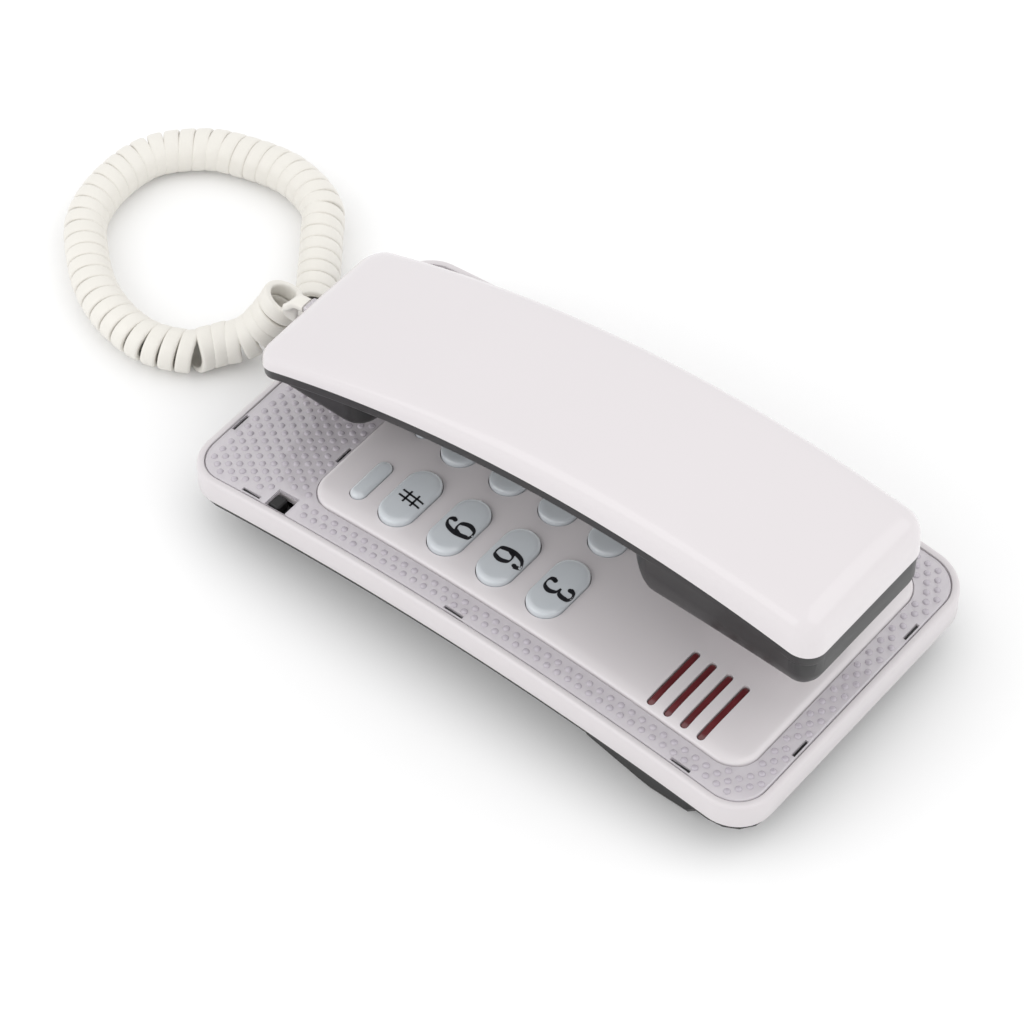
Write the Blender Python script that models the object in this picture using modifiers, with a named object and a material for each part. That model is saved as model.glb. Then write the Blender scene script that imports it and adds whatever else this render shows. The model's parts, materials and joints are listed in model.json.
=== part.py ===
"""Slimline wall phone lying on its back, with its handset on the cradle.

Metres, +Z up out of the phone's face, +Y towards the ear end, +X towards the 3-6-9-# column.
The origin is under the middle of the base, on the surface that the phone rests on.
"""
import math

import bmesh
import bpy
from mathutils import Matrix, Vector

MM = 0.001

# Fits
GAP = 0.3 * MM  # between pieces that touch
FINGER = 0.35 * MM  # round a key in its hole
SLACK = 0.4 * MM  # on each side of a plug in its socket

# Base: a bar arched along its length
BASE_WIDTH = 98 * MM
BASE_LENGTH = 183 * MM
BASE_CORNER = 11.5 * MM
RIM_HEIGHT = 26 * MM  # rim above the wall or table, at mid length
END_DROP = 6.7 * MM  # rim's drop from mid length to each end
BAND = 8 * MM  # height of the side band
RIM_WIDTH = 2 * MM
DECK_DROP = 1.6 * MM  # deck under the clear panel, below the rim
DECK = 1.8 * MM
BAND_WALL = 2.2 * MM
BACK_INSET = 0.9 * MM
FLANGE = 2.2 * MM  # thickness of the back shell's rim
LIP = 1.2 * MM
SHELL_WALL = 2 * MM

# Clips of the clear panel
CLIP_LENGTH = 6 * MM
CLIP_WIDTH = 1 * MM
CLIP_INSET = 3.6 * MM
SIDE_CLIPS = (-69 * MM, -2 * MM, 69.5 * MM)
LOWER_CLIPS = (-28 * MM, 28 * MM)
UPPER_CLIPS = (-24.5 * MM, 22 * MM)

# Raised keypad panel
SIDE_BORDER = 10.1 * MM
UPPER_BORDER = 9.1 * MM
PANEL_LENGTH = 139.4 * MM
PANEL_CORNER = 8 * MM
PANEL_RISE = 1.6 * MM

# Keys
KEY_LENGTH = 20 * MM
KEY_WIDTH = 10.3 * MM
COLUMN_PITCH = 25 * MM
ROW_PITCH = 16 * MM
BOTTOM_ROW_Y = -33.2 * MM
KEY_TRAVEL = 1.2 * MM
KEY_RISE = 1.75 * MM  # crown of a key above the panel
KEY_FLANGE = 0.8 * MM
KEY_STEM_INSET = 2.5 * MM
PILL_LENGTH = 14.4 * MM
PILL_WIDTH = 4.6 * MM
PILL_PITCH = 26 * MM
PILL_Y = -45.4 * MM
PILL_RISE = 1.1 * MM
PILL_FLANGE = 0.6 * MM
PILL_STEM_INSET = 0.8 * MM

# Key mat and circuit boards
MAT = 1.2 * MM
MAT_MARGIN = 0.9 * MM
BOARD = 1.6 * MM
BOARD_Z = 17.3 * MM
BOARD_MARGIN = 2 * MM
BOARD_END = 30 * MM
UPPER_BOARD = 1.2 * MM
UPPER_BOARD_Z = 11.6 * MM
POST_RADIUS = 2.2 * MM

# Ring lamp: four slots across the panel
SLOT_LENGTH = 19 * MM
SLOT_WIDTH = 1.9 * MM
SLOT_PITCH = 5.1 * MM
SLOT_X = 27.5 * MM
SLOT_Y = 61 * MM
SLOTS = 4
LENS = 1.4 * MM
LENS_MARGIN = 0.7 * MM
LAMP_RADIUS = 1.5 * MM
LAMP_HEIGHT = 5.5 * MM

# Ringer: a switch in a window of the clear panel, and a sounder disc
SWITCH_INSET = 5.4 * MM  # from the base's side
SWITCH_Y = -60.5 * MM
WINDOW_X = 6 * MM
WINDOW_Y = 6.8 * MM
SWITCH_BODY_X = 5.4 * MM
SWITCH_BODY_Y = 10 * MM
SWITCH_BODY_Z = 2.8 * MM
SWITCH_TRAVEL = 2.8 * MM
KNOB_X = 4 * MM
KNOB_Y = 3.4 * MM
DISC_RADIUS = 15 * MM
DISC_Y = -30 * MM

# Cradle and hook switch
CRADLE_WIDTH = 13 * MM
CRADLE_CORNER = 4 * MM
EAR_REST_Z = 42 * MM
EAR_REST_Y = 62 * MM
EAR_REST_LENGTH = 30 * MM
MOUTH_REST_Z = 34 * MM
MOUTH_REST_Y = -70 * MM
MOUTH_REST_LENGTH = 24 * MM
HOOK_Y = 53 * MM
HOOK_RADIUS = 1.8 * MM
HOOK_HOLE = 4.6 * MM
HOOK_TRAVEL = 4 * MM
COLLAR_RADIUS = 3.8 * MM
COLLAR = 1 * MM
COLLAR_DEPTH = 11.4 * MM  # below the ear rest, with the plunger down
SPRING_RADIUS = 3 * MM
SPRING_WIRE = 0.25 * MM
HOOK_SWITCH_X = 8 * MM
HOOK_SWITCH_Y = 6 * MM
HOOK_SWITCH_Z = 5.4 * MM
TAB_Y = 74 * MM
TAB_WIDTH = 8 * MM
TAB_THICK = 2 * MM
TAB_RISE = 3 * MM
TAB_DEPTH = 8.3 * MM
TAB_SLACK = 0.9 * MM

# Back shell
BELLY_MARGIN = 12 * MM
BELLY_Z = 4 * MM
BELLY_END = 40 * MM
BELLY_CORNER = 6 * MM
END_MARGIN = 2.9 * MM
BLOCK_MARGIN = 4 * MM
BLOCK_START = 34 * MM
BLOCK_END = 77 * MM
REST_Z = 1.5 * MM  # the back's lowest faces, above the feet's soles
BAR_WIDTH = 64 * MM
BAR_LENGTH = 20 * MM
BAR_Y = -75 * MM
KEYHOLES = (-80 * MM, 61 * MM)
KEYHOLE_RADIUS = 4.2 * MM
KEYHOLE_SLOT = 4.4 * MM
KEYHOLE_LENGTH = 8.5 * MM
FOOT_RADIUS = 5 * MM
FOOT_MARGIN = 6 * MM
UPPER_FOOT_MARGIN = 11 * MM
UPPER_FOOT_Y = 66 * MM
SCREW_MARGIN = 7.5 * MM
LOWER_SCREW_MARGIN = 11.5 * MM
UPPER_SCREW_MARGIN = 9.5 * MM
SCREW_RADIUS = 1.25 * MM
SCREW_HEAD_RADIUS = 2.6 * MM
SCREW_HEAD = 1.4 * MM
SCREW_HOLE = 1.6 * MM
BOSS_RADIUS = 3.2 * MM

# Handset
HANDSET_WIDTH = 49.3 * MM
HANDSET_START = -86 * MM
HANDSET_END = 91.3 * MM
HANDSET_CORNER = 6.5 * MM
HANDSET_PEAK_Z = 62.5 * MM
HANDSET_PEAK_Y = 31 * MM
HANDSET_RADIUS = 312.5 * MM
SHELL_RISE = 7.8 * MM
SHELL_TAPER = 0.0367
SHELL_CROWN = 0.8 * MM
HANDSET_WALL = 2 * MM
STRIP = 3.8 * MM
STRIP_INSET = 0.4 * MM
EAR_BLOCK_START = 35 * MM
EAR_BLOCK_DEPTH = 8 * MM
EAR_CAP_RADIUS = 11.5 * MM
EAR_CAP_Y = 60 * MM
MOUTH_BLOCK_WIDTH = 42 * MM
MOUTH_BLOCK_END = -52 * MM
MIC_RADIUS = 4.8 * MM
MIC_HEIGHT = 4.6 * MM
MIC_Y = -61 * MM
RECEIVER_RADIUS = 13 * MM
RECEIVER_HEIGHT = 8 * MM
HANDSET_SCREWS = (-20 * MM, 8 * MM)
WEIGHT_WIDTH = 24 * MM
WEIGHT_LENGTH = 20 * MM
WEIGHT_HEIGHT = 4.8 * MM
SOUND_HOLE = 0.7 * MM
SOUND_PITCH = 2.8 * MM

# Sockets, plugs and cord
JACK_X = -16 * MM
JACK_DEPTH = 13 * MM
JACK_WALL = 0.9 * MM
JACK_DROP = 8.1 * MM  # sockets' middle below the rim's end
PLUG_WIDTH = 7.6 * MM
PLUG_HEIGHT = 5.2 * MM
PLUG_LENGTH = 13 * MM
PLUG_COLLAR_WIDTH = 4.8 * MM
PLUG_COLLAR_HEIGHT = 3.6 * MM
PLUG_COLLAR = 3 * MM
LINE_PLUG_WIDTH = 10.7 * MM
HANDSET_JACK_RISE = 6.6 * MM  # above the mouth end's underside
HANDSET_PLUG_DEPTH = 1 * MM  # from the handset's end to the plug's body
LEAD_RADIUS = 1.6 * MM
COIL_RADIUS = 5.95 * MM

BASE_LEAD = [
    (-16, -98.3, 11.2),
    (-16.2, -100.4, 10.7),
    (-17.1, -102.7, 9.2),
    (-18.8, -104.4, 7.5),
    (-20.6, -105.6, 6.5),
]
COIL = [
    (-21.2, -106, 6.4),
    (-26.9, -109.9, 6.2),
    (-32.6, -114, 6.2),
    (-43.8, -122.5, 6.2),
    (-53.1, -130.7, 6.2),
    (-57, -145.3, 6.2),
    (-53.9, -160.9, 6.2),
    (-49.1, -170.6, 6.2),
    (-38.4, -179.7, 6.2),
    (-23.8, -181.5, 6.2),
    (-9.5, -177.6, 6.2),
    (1, -167.9, 6.2),
    (8.8, -157.1, 6.2),
    (13, -145.4, 6.2),
    (13.6, -134.1, 6.2),
    (9.5, -123.7, 6.3),
    (5.6, -120.7, 6.4),
    (1.7, -117.9, 6.8),
    (-1.3, -114.9, 7.6),
    (-4.4, -112.6, 9.4),
    (-7.4, -110.9, 12.4),
    (-9.7, -109.3, 16),
    (-12.1, -108, 20),
]
HANDSET_LEAD = [
    (-14.5, -104.9, 20.2),
    (-11, -102.3, 21.3),
    (-7.2, -99.9, 23.3),
    (-3.8, -97.6, 27),
    (-1.4, -95.9, 31.8),
    (-0.3, -94.3, 36.4),
    (0, -91.8, 39.8),
    (0, -88.4, 40.6),
]

KEY_NAMES = (
    ("key_star", "key_0", "key_hash"),
    ("key_7", "key_8", "key_9"),
    ("key_4", "key_5", "key_6"),
    ("key_1", "key_2", "key_3"),
)
PILL_NAMES = ("key_flash", "key_mute", "key_redial")
HANDSET_PIECES = (
    "handset_shell",
    "handset_back",
    "ear_cap",
    "receiver",
    "microphone",
    "handset_weight",
    "handset_jack",
    "handset_screw_lower",
    "handset_screw_upper",
    "cord_plug_handset",
    "cord_lead_handset",
)

# Places that follow from the sizes
HALF_WIDTH = BASE_WIDTH / 2
HALF_LENGTH = BASE_LENGTH / 2
ARCH_RADIUS = HALF_LENGTH**2 / (2 * END_DROP)
PANEL_WIDTH = BASE_WIDTH - 2 * SIDE_BORDER
PANEL_Y = HALF_LENGTH - UPPER_BORDER - PANEL_LENGTH / 2
DECK_UNDER = -DECK_DROP - DECK
PANEL_UNDER = -DECK_DROP + GAP
FLANGE_TOP = -BAND - GAP
FLANGE_UNDER = FLANGE_TOP - FLANGE
MAT_Z = BOARD_Z + BOARD + GAP
STEM_Z = MAT_Z + MAT + GAP + KEY_TRAVEL
BOARD_TOP = UPPER_BOARD_Z + UPPER_BOARD
HOOK_SWITCH_TOP = BOARD_TOP + GAP + HOOK_SWITCH_Z
COLLAR_Z = EAR_REST_Z - COLLAR_DEPTH
SWITCH_X = HALF_WIDTH - SWITCH_INSET
BELLY_WIDTH = BASE_WIDTH - 2 * BELLY_MARGIN
BELLY_START = END_MARGIN - HALF_LENGTH
BELLY_FLOOR = BELLY_Z + SHELL_WALL
BLOCK_WIDTH = BASE_WIDTH - 2 * BLOCK_MARGIN
SCREW_X = HALF_WIDTH - SCREW_MARGIN
LOWER_SCREW_Y = LOWER_SCREW_MARGIN - HALF_LENGTH
UPPER_SCREW_Y = HALF_LENGTH - UPPER_SCREW_MARGIN
LOWER_FOOT_X = BAR_WIDTH / 2 - FOOT_MARGIN
UPPER_FOOT_X = BLOCK_WIDTH / 2 - UPPER_FOOT_MARGIN
JACK_Z = RIM_HEIGHT - END_DROP - JACK_DROP
JACK_Y = BELLY_START + SHELL_WALL + GAP
HANDSET_JACK_Z = MOUTH_REST_Z + HANDSET_JACK_RISE
HANDSET_JACK_Y = HANDSET_START + 3.8 * MM

SCREW_SPOTS = (
    ("lower_left", -SCREW_X, LOWER_SCREW_Y),
    ("lower_right", SCREW_X, LOWER_SCREW_Y),
    ("upper_left", -SCREW_X, UPPER_SCREW_Y),
    ("upper_right", SCREW_X, UPPER_SCREW_Y),
)
FOOT_SPOTS = (
    ("lower_left", -LOWER_FOOT_X, BAR_Y),
    ("lower_right", LOWER_FOOT_X, BAR_Y),
    ("upper_left", -UPPER_FOOT_X, UPPER_FOOT_Y),
    ("upper_right", UPPER_FOOT_X, UPPER_FOOT_Y),
)


def collection(name):
    made = bpy.data.collections.new(name)
    bpy.context.scene.collection.children.link(made)
    return made


def material(name, colour, roughness, metallic=0.0):
    """A Principled material from an sRGB hex colour."""
    made = bpy.data.materials.new(name)
    made.use_nodes = True
    shader = made.node_tree.nodes["Principled BSDF"]
    channels = [int(colour[i : i + 2], 16) / 255 for i in (0, 2, 4)]
    linear = [c / 12.92 if c <= 0.04045 else ((c + 0.055) / 1.055) ** 2.4 for c in channels]
    shader.inputs["Base Color"].default_value = (*linear, 1)
    shader.inputs["Roughness"].default_value = roughness
    shader.inputs["Metallic"].default_value = metallic
    return made


def clear_scene():
    for thing in list(bpy.data.objects):
        bpy.data.objects.remove(thing)


# Heights


LONG_STEPS = 12  # facets along an arched piece
PANEL_STEPS = 10


def face(offset):
    """Height of the arched face at a place, moved up by an offset."""
    return lambda x, y: RIM_HEIGHT - y * y / (2 * ARCH_RADIUS) + offset


def handset_edge(offset=0.0):
    """Height of the white shell's lower edge."""
    return lambda x, y: HANDSET_PEAK_Z - (y - HANDSET_PEAK_Y) ** 2 / (2 * HANDSET_RADIUS) + offset


def handset_top(offset=0.0):
    edge = handset_edge()
    half = HANDSET_WIDTH / 2
    return lambda x, y: (
        edge(x, y) + SHELL_RISE + SHELL_TAPER * y + SHELL_CROWN * (1 - (x / half) ** 2) + offset
    )


def between(low, high, share):
    """A height that lies a share of the way from one height to another."""
    return lambda x, y: low(x, y) + share * (high(x, y) - low(x, y))


def level(z):
    return lambda x, y: z


def block_floor(rise=0.0):
    """The upper stand-off's underside: a long ramp, a flat rest, a short ramp."""

    def height(x, y):
        ramp = REST_Z + 0.27 * (BLOCK_START + 24.6 * MM - y)
        nose = REST_Z + 0.7 * (y - BLOCK_END + 6 * MM)
        return max(REST_Z, ramp, nose) + rise

    return height


# Solids


def plan_rows(half_x, half_y, corner, columns, straights, arcs):
    """Rows of points that fill a rounded rectangle, from its low-Y end to its high-Y end."""
    flat = half_y - corner
    turns = [math.pi / 2 * i / arcs for i in range(arcs + 1)]
    end = [(flat + corner * math.sin(a), half_x - corner + corner * math.cos(a)) for a in turns]
    middle = [(flat * (2 * i / straights - 1), half_x) for i in range(1, straights)]
    low = [(-y, w) for y, w in reversed(end)]
    if straights == 0:
        low.pop()
    return [
        [(w * (2 * c / columns - 1), y) for c in range(columns + 1)]
        for y, w in low + middle + end
    ]


def add_loft(bm, centre, size, corner, levels, columns=4, straights=8, arcs=4):
    """Add a solid whose outline is a rounded rectangle, inset and raised level by level."""
    half_x, half_y = size[0] / 2, size[1] / 2
    loops = []
    caps = []
    for inset, height in levels:
        rows = plan_rows(
            half_x - inset, half_y - inset, corner - inset, columns, straights, arcs
        )
        is_cap = not loops or len(loops) == len(levels) - 1
        made = {}

        def vertex(r, c):
            if (r, c) not in made:
                x, y = rows[r][c]
                x, y = x + centre[0], y + centre[1]
                made[r, c] = bm.verts.new((x, y, height(x, y)))
            return made[r, c]

        last = len(rows) - 1
        ring = [(0, c) for c in range(columns + 1)]
        ring += [(r, columns) for r in range(1, last)]
        ring += [(last, c) for c in range(columns, -1, -1)]
        ring += [(r, 0) for r in range(last - 1, 0, -1)]
        loops.append([vertex(r, c) for r, c in ring])
        if is_cap:
            caps.append([[vertex(r, c) for c in range(columns + 1)] for r in range(last + 1)])
    for low, high in zip(loops[:-1], loops[1:]):
        for i in range(len(low)):
            j = (i + 1) % len(low)
            bm.faces.new((low[i], low[j], high[j], high[i]))
    bottom, top = caps
    for r in range(len(bottom) - 1):
        for c in range(columns):
            bm.faces.new((bottom[r][c], bottom[r + 1][c], bottom[r + 1][c + 1], bottom[r][c + 1]))
            bm.faces.new((top[r][c], top[r][c + 1], top[r + 1][c + 1], top[r + 1][c]))


def add_box(bm, x, y, z):
    """Add a box from its low and high place on each axis."""
    size = Vector((x[1] - x[0], y[1] - y[0], z[1] - z[0]))
    middle = Vector((x[0] + x[1], y[0] + y[1], z[0] + z[1])) / 2
    bmesh.ops.create_cube(bm, size=1, matrix=Matrix.Translation(middle) @ Matrix.Diagonal((*size, 1)))


def add_cylinder(bm, radius, x, y, z, segments=20):
    middle = Matrix.Translation((x, y, (z[0] + z[1]) / 2))
    bmesh.ops.create_cone(
        bm,
        cap_ends=True,
        segments=segments,
        radius1=radius,
        radius2=radius,
        depth=z[1] - z[0],
        matrix=middle,
    )


def build(name, bm, finish, home, origin=(0, 0, 0)):
    """Make an object of a mesh whose points are in world places."""
    bmesh.ops.translate(bm, verts=bm.verts, vec=-Vector(origin))
    mesh = bpy.data.meshes.new(name)
    bm.to_mesh(mesh)
    bm.free()
    made = bpy.data.objects.new(name, mesh)
    made.location = origin
    home.objects.link(made)
    if finish:
        mesh.materials.append(finish)
        mesh.shade_smooth()
        mesh.set_sharp_from_angle(angle=math.radians(35))
    else:
        made.hide_render = True
        made.display_type = "WIRE"
    return made


def part(name, bm, finish, origin=(0, 0, 0)):
    return build(name, bm, finish, PARTS, origin)


def tool(name, bm):
    return build(name, bm, None, CUTTERS)


def combine(target, other, operation):
    step = target.modifiers.new(f"{operation.lower()} {other.name}", "BOOLEAN")
    step.operation = operation
    step.solver = "EXACT"
    step.object = other


def cut(target, *others):
    for other in others:
        combine(target, other, "DIFFERENCE")


def join(target, *others):
    for other in others:
        combine(target, other, "UNION")


def round_edges(made, width, segments=2):
    step = made.modifiers.new("rounded edges", "BEVEL")
    step.width = width
    step.segments = segments
    step.limit_method = "ANGLE"
    return step


def turned(name, profile, finish, place, steps=24):
    """A solid of revolution from a profile of radius and height, from its top to its bottom."""
    mesh = bpy.data.meshes.new(name)
    points = [(r, 0, z) for r, z in profile]
    mesh.from_pydata(points, [(i, i + 1) for i in range(len(points) - 1)], [])
    mesh.materials.append(finish)
    made = bpy.data.objects.new(name, mesh)
    made.location = place
    PARTS.objects.link(made)
    spin = made.modifiers.new("turned", "SCREW")
    spin.axis = "Z"
    spin.steps = spin.render_steps = steps
    spin.use_merge_vertices = True
    spin.merge_threshold = 0.00001
    spin.use_smooth_shade = True
    return made


def smooth_line(points, spacing):
    """Points about a spacing apart on a smooth curve through a route's points."""
    route = [Vector(p) * MM for p in points]
    route = [2 * route[0] - route[1]] + route + [2 * route[-1] - route[-2]]
    line = []
    for a, b, c, d in zip(route, route[1:], route[2:], route[3:]):
        steps = max(1, round((c - b).length / spacing))
        for i in range(steps):
            t = i / steps
            line.append(
                0.5 * (2 * b + (c - a) * t + (2 * a - 5 * b + 4 * c - d) * t**2
                       + (3 * b - a - 3 * c + d) * t**3)
            )
    return line + [route[-2]]


def tube(name, line, radius, finish, sides=2):
    curve = bpy.data.curves.new(name, "CURVE")
    curve.dimensions = "3D"
    curve.bevel_depth = radius
    curve.bevel_resolution = sides
    curve.use_fill_caps = True
    curve.materials.append(finish)
    spline = curve.splines.new("POLY")
    spline.points.add(len(line) - 1)
    for point, place in zip(spline.points, line):
        point.co = (*place, 1)
    made = bpy.data.objects.new(name, curve)
    PARTS.objects.link(made)
    return made


# Base


def panel_plan(grow=0.0):
    size = (PANEL_WIDTH + 2 * grow, PANEL_LENGTH + 2 * grow)
    return (0, PANEL_Y), size, PANEL_CORNER + grow


def base_plan(inset):
    size = (BASE_WIDTH - 2 * inset, BASE_LENGTH - 2 * inset)
    return (0, 0), size, BASE_CORNER - inset


def key_places():
    for row, names in enumerate(KEY_NAMES):
        for column, name in enumerate(names):
            yield name, (column - 1) * COLUMN_PITCH, BOTTOM_ROW_Y + row * ROW_PITCH


def pill_places():
    for i, name in enumerate(PILL_NAMES):
        yield name, (i - 1) * PILL_PITCH, PILL_Y


def slot_places():
    for i in range(SLOTS):
        yield SLOT_X, SLOT_Y + (i - (SLOTS - 1) / 2) * SLOT_PITCH


def pill_loft(bm, x, y, length, width, levels, arcs=3, columns=2):
    add_loft(bm, (x, y), (length, width), width / 2, levels, columns, 0, arcs)


def plug_window(bm, x, z, width, y, slack):
    """Add a box round a plug's section."""
    half_x, half_z = width / 2 + slack, PLUG_HEIGHT / 2 + slack
    add_box(bm, (x - half_x, x + half_x), y, (z - half_z, z + half_z))


def switch_hole(bm):
    x = (SWITCH_X - WINDOW_X / 2, SWITCH_X + WINDOW_X / 2)
    add_box(bm, x, (SWITCH_Y - WINDOW_Y / 2, SWITCH_Y + WINDOW_Y / 2), THROUGH)


def lens_size():
    ribs = (SLOTS - 1) * SLOT_PITCH + SLOT_WIDTH
    return SLOT_LENGTH + 2 * LENS_MARGIN, ribs + 2 * LENS_MARGIN + 2 * MM


THROUGH = (10 * MM, 40 * MM)  # heights that pass through the face


def key_board_end():
    """High-Y end of what lies under the keys."""
    return BOTTOM_ROW_Y + 3 * ROW_PITCH + KEY_WIDTH / 2 + KEY_FLANGE


def face_opening(bm):
    """Openings through the deck for keys, lamp, ringer switch and hook."""
    half = COLUMN_PITCH + KEY_LENGTH / 2 + KEY_FLANGE + 0.8 * MM
    start = PILL_Y - PILL_WIDTH / 2 - PILL_FLANGE - 1.7 * MM
    add_box(bm, (-half, half), (start, key_board_end() + 1.2 * MM), THROUGH)
    lens_x, lens_y = lens_size()
    half_x, half_y = lens_x / 2 + 0.8 * MM, lens_y / 2 + 0.9 * MM
    add_box(bm, (SLOT_X - half_x, SLOT_X + half_x), (SLOT_Y - half_y, SLOT_Y + half_y), THROUGH)
    switch_hole(bm)
    add_cylinder(bm, HOOK_HOLE, 0, HOOK_Y, THROUGH)


def front_frame():
    bm = bmesh.new()
    levels = [
        (0.5 * MM, face(-BAND)),
        (0, face(-BAND + 0.6 * MM)),
        (0, face(-1 * MM)),
        (0.3 * MM, face(-0.3 * MM)),
        (1 * MM, face(0)),
    ]
    add_loft(bm, *base_plan(0), levels, straights=LONG_STEPS)
    frame = part("front_frame", bm, WHITE)

    bm = bmesh.new()
    levels = [(0, face(-20 * MM)), (0, face(DECK_UNDER))]
    add_loft(bm, *base_plan(BAND_WALL), levels, straights=LONG_STEPS)
    hollow = tool("frame_hollow", bm)

    bm = bmesh.new()
    levels = [(0, face(-DECK_DROP)), (0, face(5 * MM))]
    add_loft(bm, *base_plan(RIM_WIDTH), levels, straights=LONG_STEPS)
    recess = tool("frame_recess", bm)

    bm = bmesh.new()
    for _, x, y in SCREW_SPOTS:
        top = face(DECK_UNDER)(x, y) + 1 * MM
        add_cylinder(bm, BOSS_RADIUS, x, y, (face(FLANGE_TOP)(x, y) + 0.8 * MM, top), 12)
    bosses = tool("frame_bosses", bm)

    bm = bmesh.new()
    face_opening(bm)
    outside = (-HALF_LENGTH - 1 * MM, BAND_WALL + 1 * MM - HALF_LENGTH)
    for x, width in ((JACK_X, PLUG_WIDTH), (-JACK_X, LINE_PLUG_WIDTH)):
        plug_window(bm, x, JACK_Z, width, outside, SLACK + GAP)
    for _, x, y in SCREW_SPOTS:
        add_cylinder(bm, SCREW_HOLE, x, y, (5 * MM, face(DECK_UNDER)(x, y) + 0.4 * MM), 12)
    holes = tool("frame_holes", bm)

    cut(frame, hollow, recess)
    join(frame, bosses)
    cut(frame, holes)


def clip_places():
    """Middle and size of each clip window in the clear panel."""
    for sign in (-1, 1):
        for y in SIDE_CLIPS:
            yield sign * (HALF_WIDTH - CLIP_INSET), y, CLIP_WIDTH, CLIP_LENGTH
    for x in LOWER_CLIPS:
        yield x, CLIP_INSET - HALF_LENGTH, CLIP_LENGTH, CLIP_WIDTH
    for x in UPPER_CLIPS:
        yield x, HALF_LENGTH - CLIP_INSET, CLIP_LENGTH, CLIP_WIDTH


def clear_panel():
    bm = bmesh.new()
    levels = [(0, face(PANEL_UNDER)), (0, face(-0.45 * MM)), (0.35 * MM, face(-0.1 * MM))]
    add_loft(bm, *base_plan(RIM_WIDTH + GAP), levels, straights=LONG_STEPS)
    panel = part("clear_panel", bm, CLEAR)

    bm = bmesh.new()
    add_loft(bm, *panel_plan(GAP), [(0, face(-5 * MM)), (0, face(5 * MM))], straights=PANEL_STEPS)
    switch_hole(bm)
    for x, y, size_x, size_y in clip_places():
        half_x, half_y = size_x / 2, size_y / 2
        add_box(bm, (x - half_x, x + half_x), (y - half_y, y + half_y), THROUGH)
    cut(panel, tool("clear_panel_holes", bm))


def keypad_panel():
    bm = bmesh.new()
    levels = [
        (0, face(PANEL_UNDER)),
        (0, face(0.2 * MM)),
        (0.6 * MM, face(0.9 * MM)),
        (1.8 * MM, face(1.38 * MM)),
        (4.5 * MM, face(PANEL_RISE)),
    ]
    add_loft(bm, *panel_plan(), levels, straights=PANEL_STEPS)
    panel = part("keypad_panel", bm, GLOSS)

    bm = bmesh.new()
    through = [(0, face(-4 * MM)), (0, face(4 * MM))]
    for _, x, y in key_places():
        pill_loft(bm, x, y, KEY_LENGTH + 2 * FINGER, KEY_WIDTH + 2 * FINGER, through)
    for _, x, y in pill_places():
        pill_loft(bm, x, y, PILL_LENGTH + 2 * FINGER, PILL_WIDTH + 2 * FINGER, through)
    for x, y in slot_places():
        pill_loft(bm, x, y, SLOT_LENGTH, SLOT_WIDTH, through, 2)
    add_cylinder(bm, HOOK_HOLE, 0, HOOK_Y, THROUGH)
    cut(panel, tool("keypad_panel_holes", bm))


def key(name, place, size, finish, rise, flange, stem_inset, crown):
    """A domed cap on a flange that stops it under the panel, with a stem down to the mat."""
    x, y = place
    top = PANEL_RISE + rise
    stop = PANEL_UNDER - GAP
    levels = [
        (stem_inset, level(STEM_Z)),
        (stem_inset, face(stop - KEY_FLANGE)),
        (-flange, face(stop - KEY_FLANGE)),
        (-flange, face(stop)),
        (0, face(stop)),
    ]
    levels += [(inset * MM, face(top - drop * MM)) for inset, drop in crown]
    bm = bmesh.new()
    pill_loft(bm, x, y, *size, levels)
    part(name, bm, finish, (x, y, face(PANEL_RISE)(x, y)))


def keys():
    size = (KEY_LENGTH, KEY_WIDTH)
    crown = ((0, 1.5), (0.45, 0.8), (1.5, 0.3), (3.2, 0))
    for name, x, y in key_places():
        key(name, (x, y), size, KEYCAP, KEY_RISE, KEY_FLANGE, KEY_STEM_INSET, crown)
    size = (PILL_LENGTH, PILL_WIDTH)
    crown = ((0, 0.8), (0.3, 0.3), (1, 0))
    for name, x, y in pill_places():
        key(name, (x, y), size, GLOSS, PILL_RISE, PILL_FLANGE, PILL_STEM_INSET, crown)


def cradle(name, y, length, rest, seat):
    """A narrow post on the face that one end of the handset rests on."""
    levels = [
        (0, face(seat + GAP)),
        (0.2 * MM, level(rest - 3 * MM)),
        (0.6 * MM, level(rest - GAP - 0.7 * MM)),
        (1.4 * MM, level(rest - GAP)),
    ]
    bm = bmesh.new()
    add_loft(bm, (0, y), (CRADLE_WIDTH, length), CRADLE_CORNER, levels, columns=2, straights=2, arcs=3)
    return part(name, bm, WHITE)


def add_tab(bm, slack, z):
    half = TAB_WIDTH / 2 + slack
    thick = TAB_THICK / 2 + slack
    add_box(bm, (-half, half), (TAB_Y - thick, TAB_Y + thick), z)


def cradles():
    ear = cradle("ear_cradle", EAR_REST_Y, EAR_REST_LENGTH, EAR_REST_Z, PANEL_RISE)
    tab_foot = EAR_REST_Z - TAB_DEPTH
    bm = bmesh.new()
    well_top = COLLAR_Z + HOOK_TRAVEL + SLACK
    add_cylinder(bm, COLLAR_RADIUS + SLACK, 0, HOOK_Y, (20 * MM, well_top), 16)
    well = tool("ear_cradle_well", bm)
    bm = bmesh.new()
    add_cylinder(bm, HOOK_RADIUS + FINGER, 0, HOOK_Y, (20 * MM, 50 * MM), 16)
    add_tab(bm, GAP, (tab_foot - GAP, 50 * MM))
    cut(ear, well, tool("ear_cradle_holes", bm))
    cradle("mouth_cradle", MOUTH_REST_Y, MOUTH_REST_LENGTH, MOUTH_REST_Z, -0.1 * MM)

    bm = bmesh.new()
    add_tab(bm, 0, (tab_foot, EAR_REST_Z + TAB_RISE))
    round_edges(part("hanger_tab", bm, WHITE), 0.4 * MM, 1)


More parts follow.
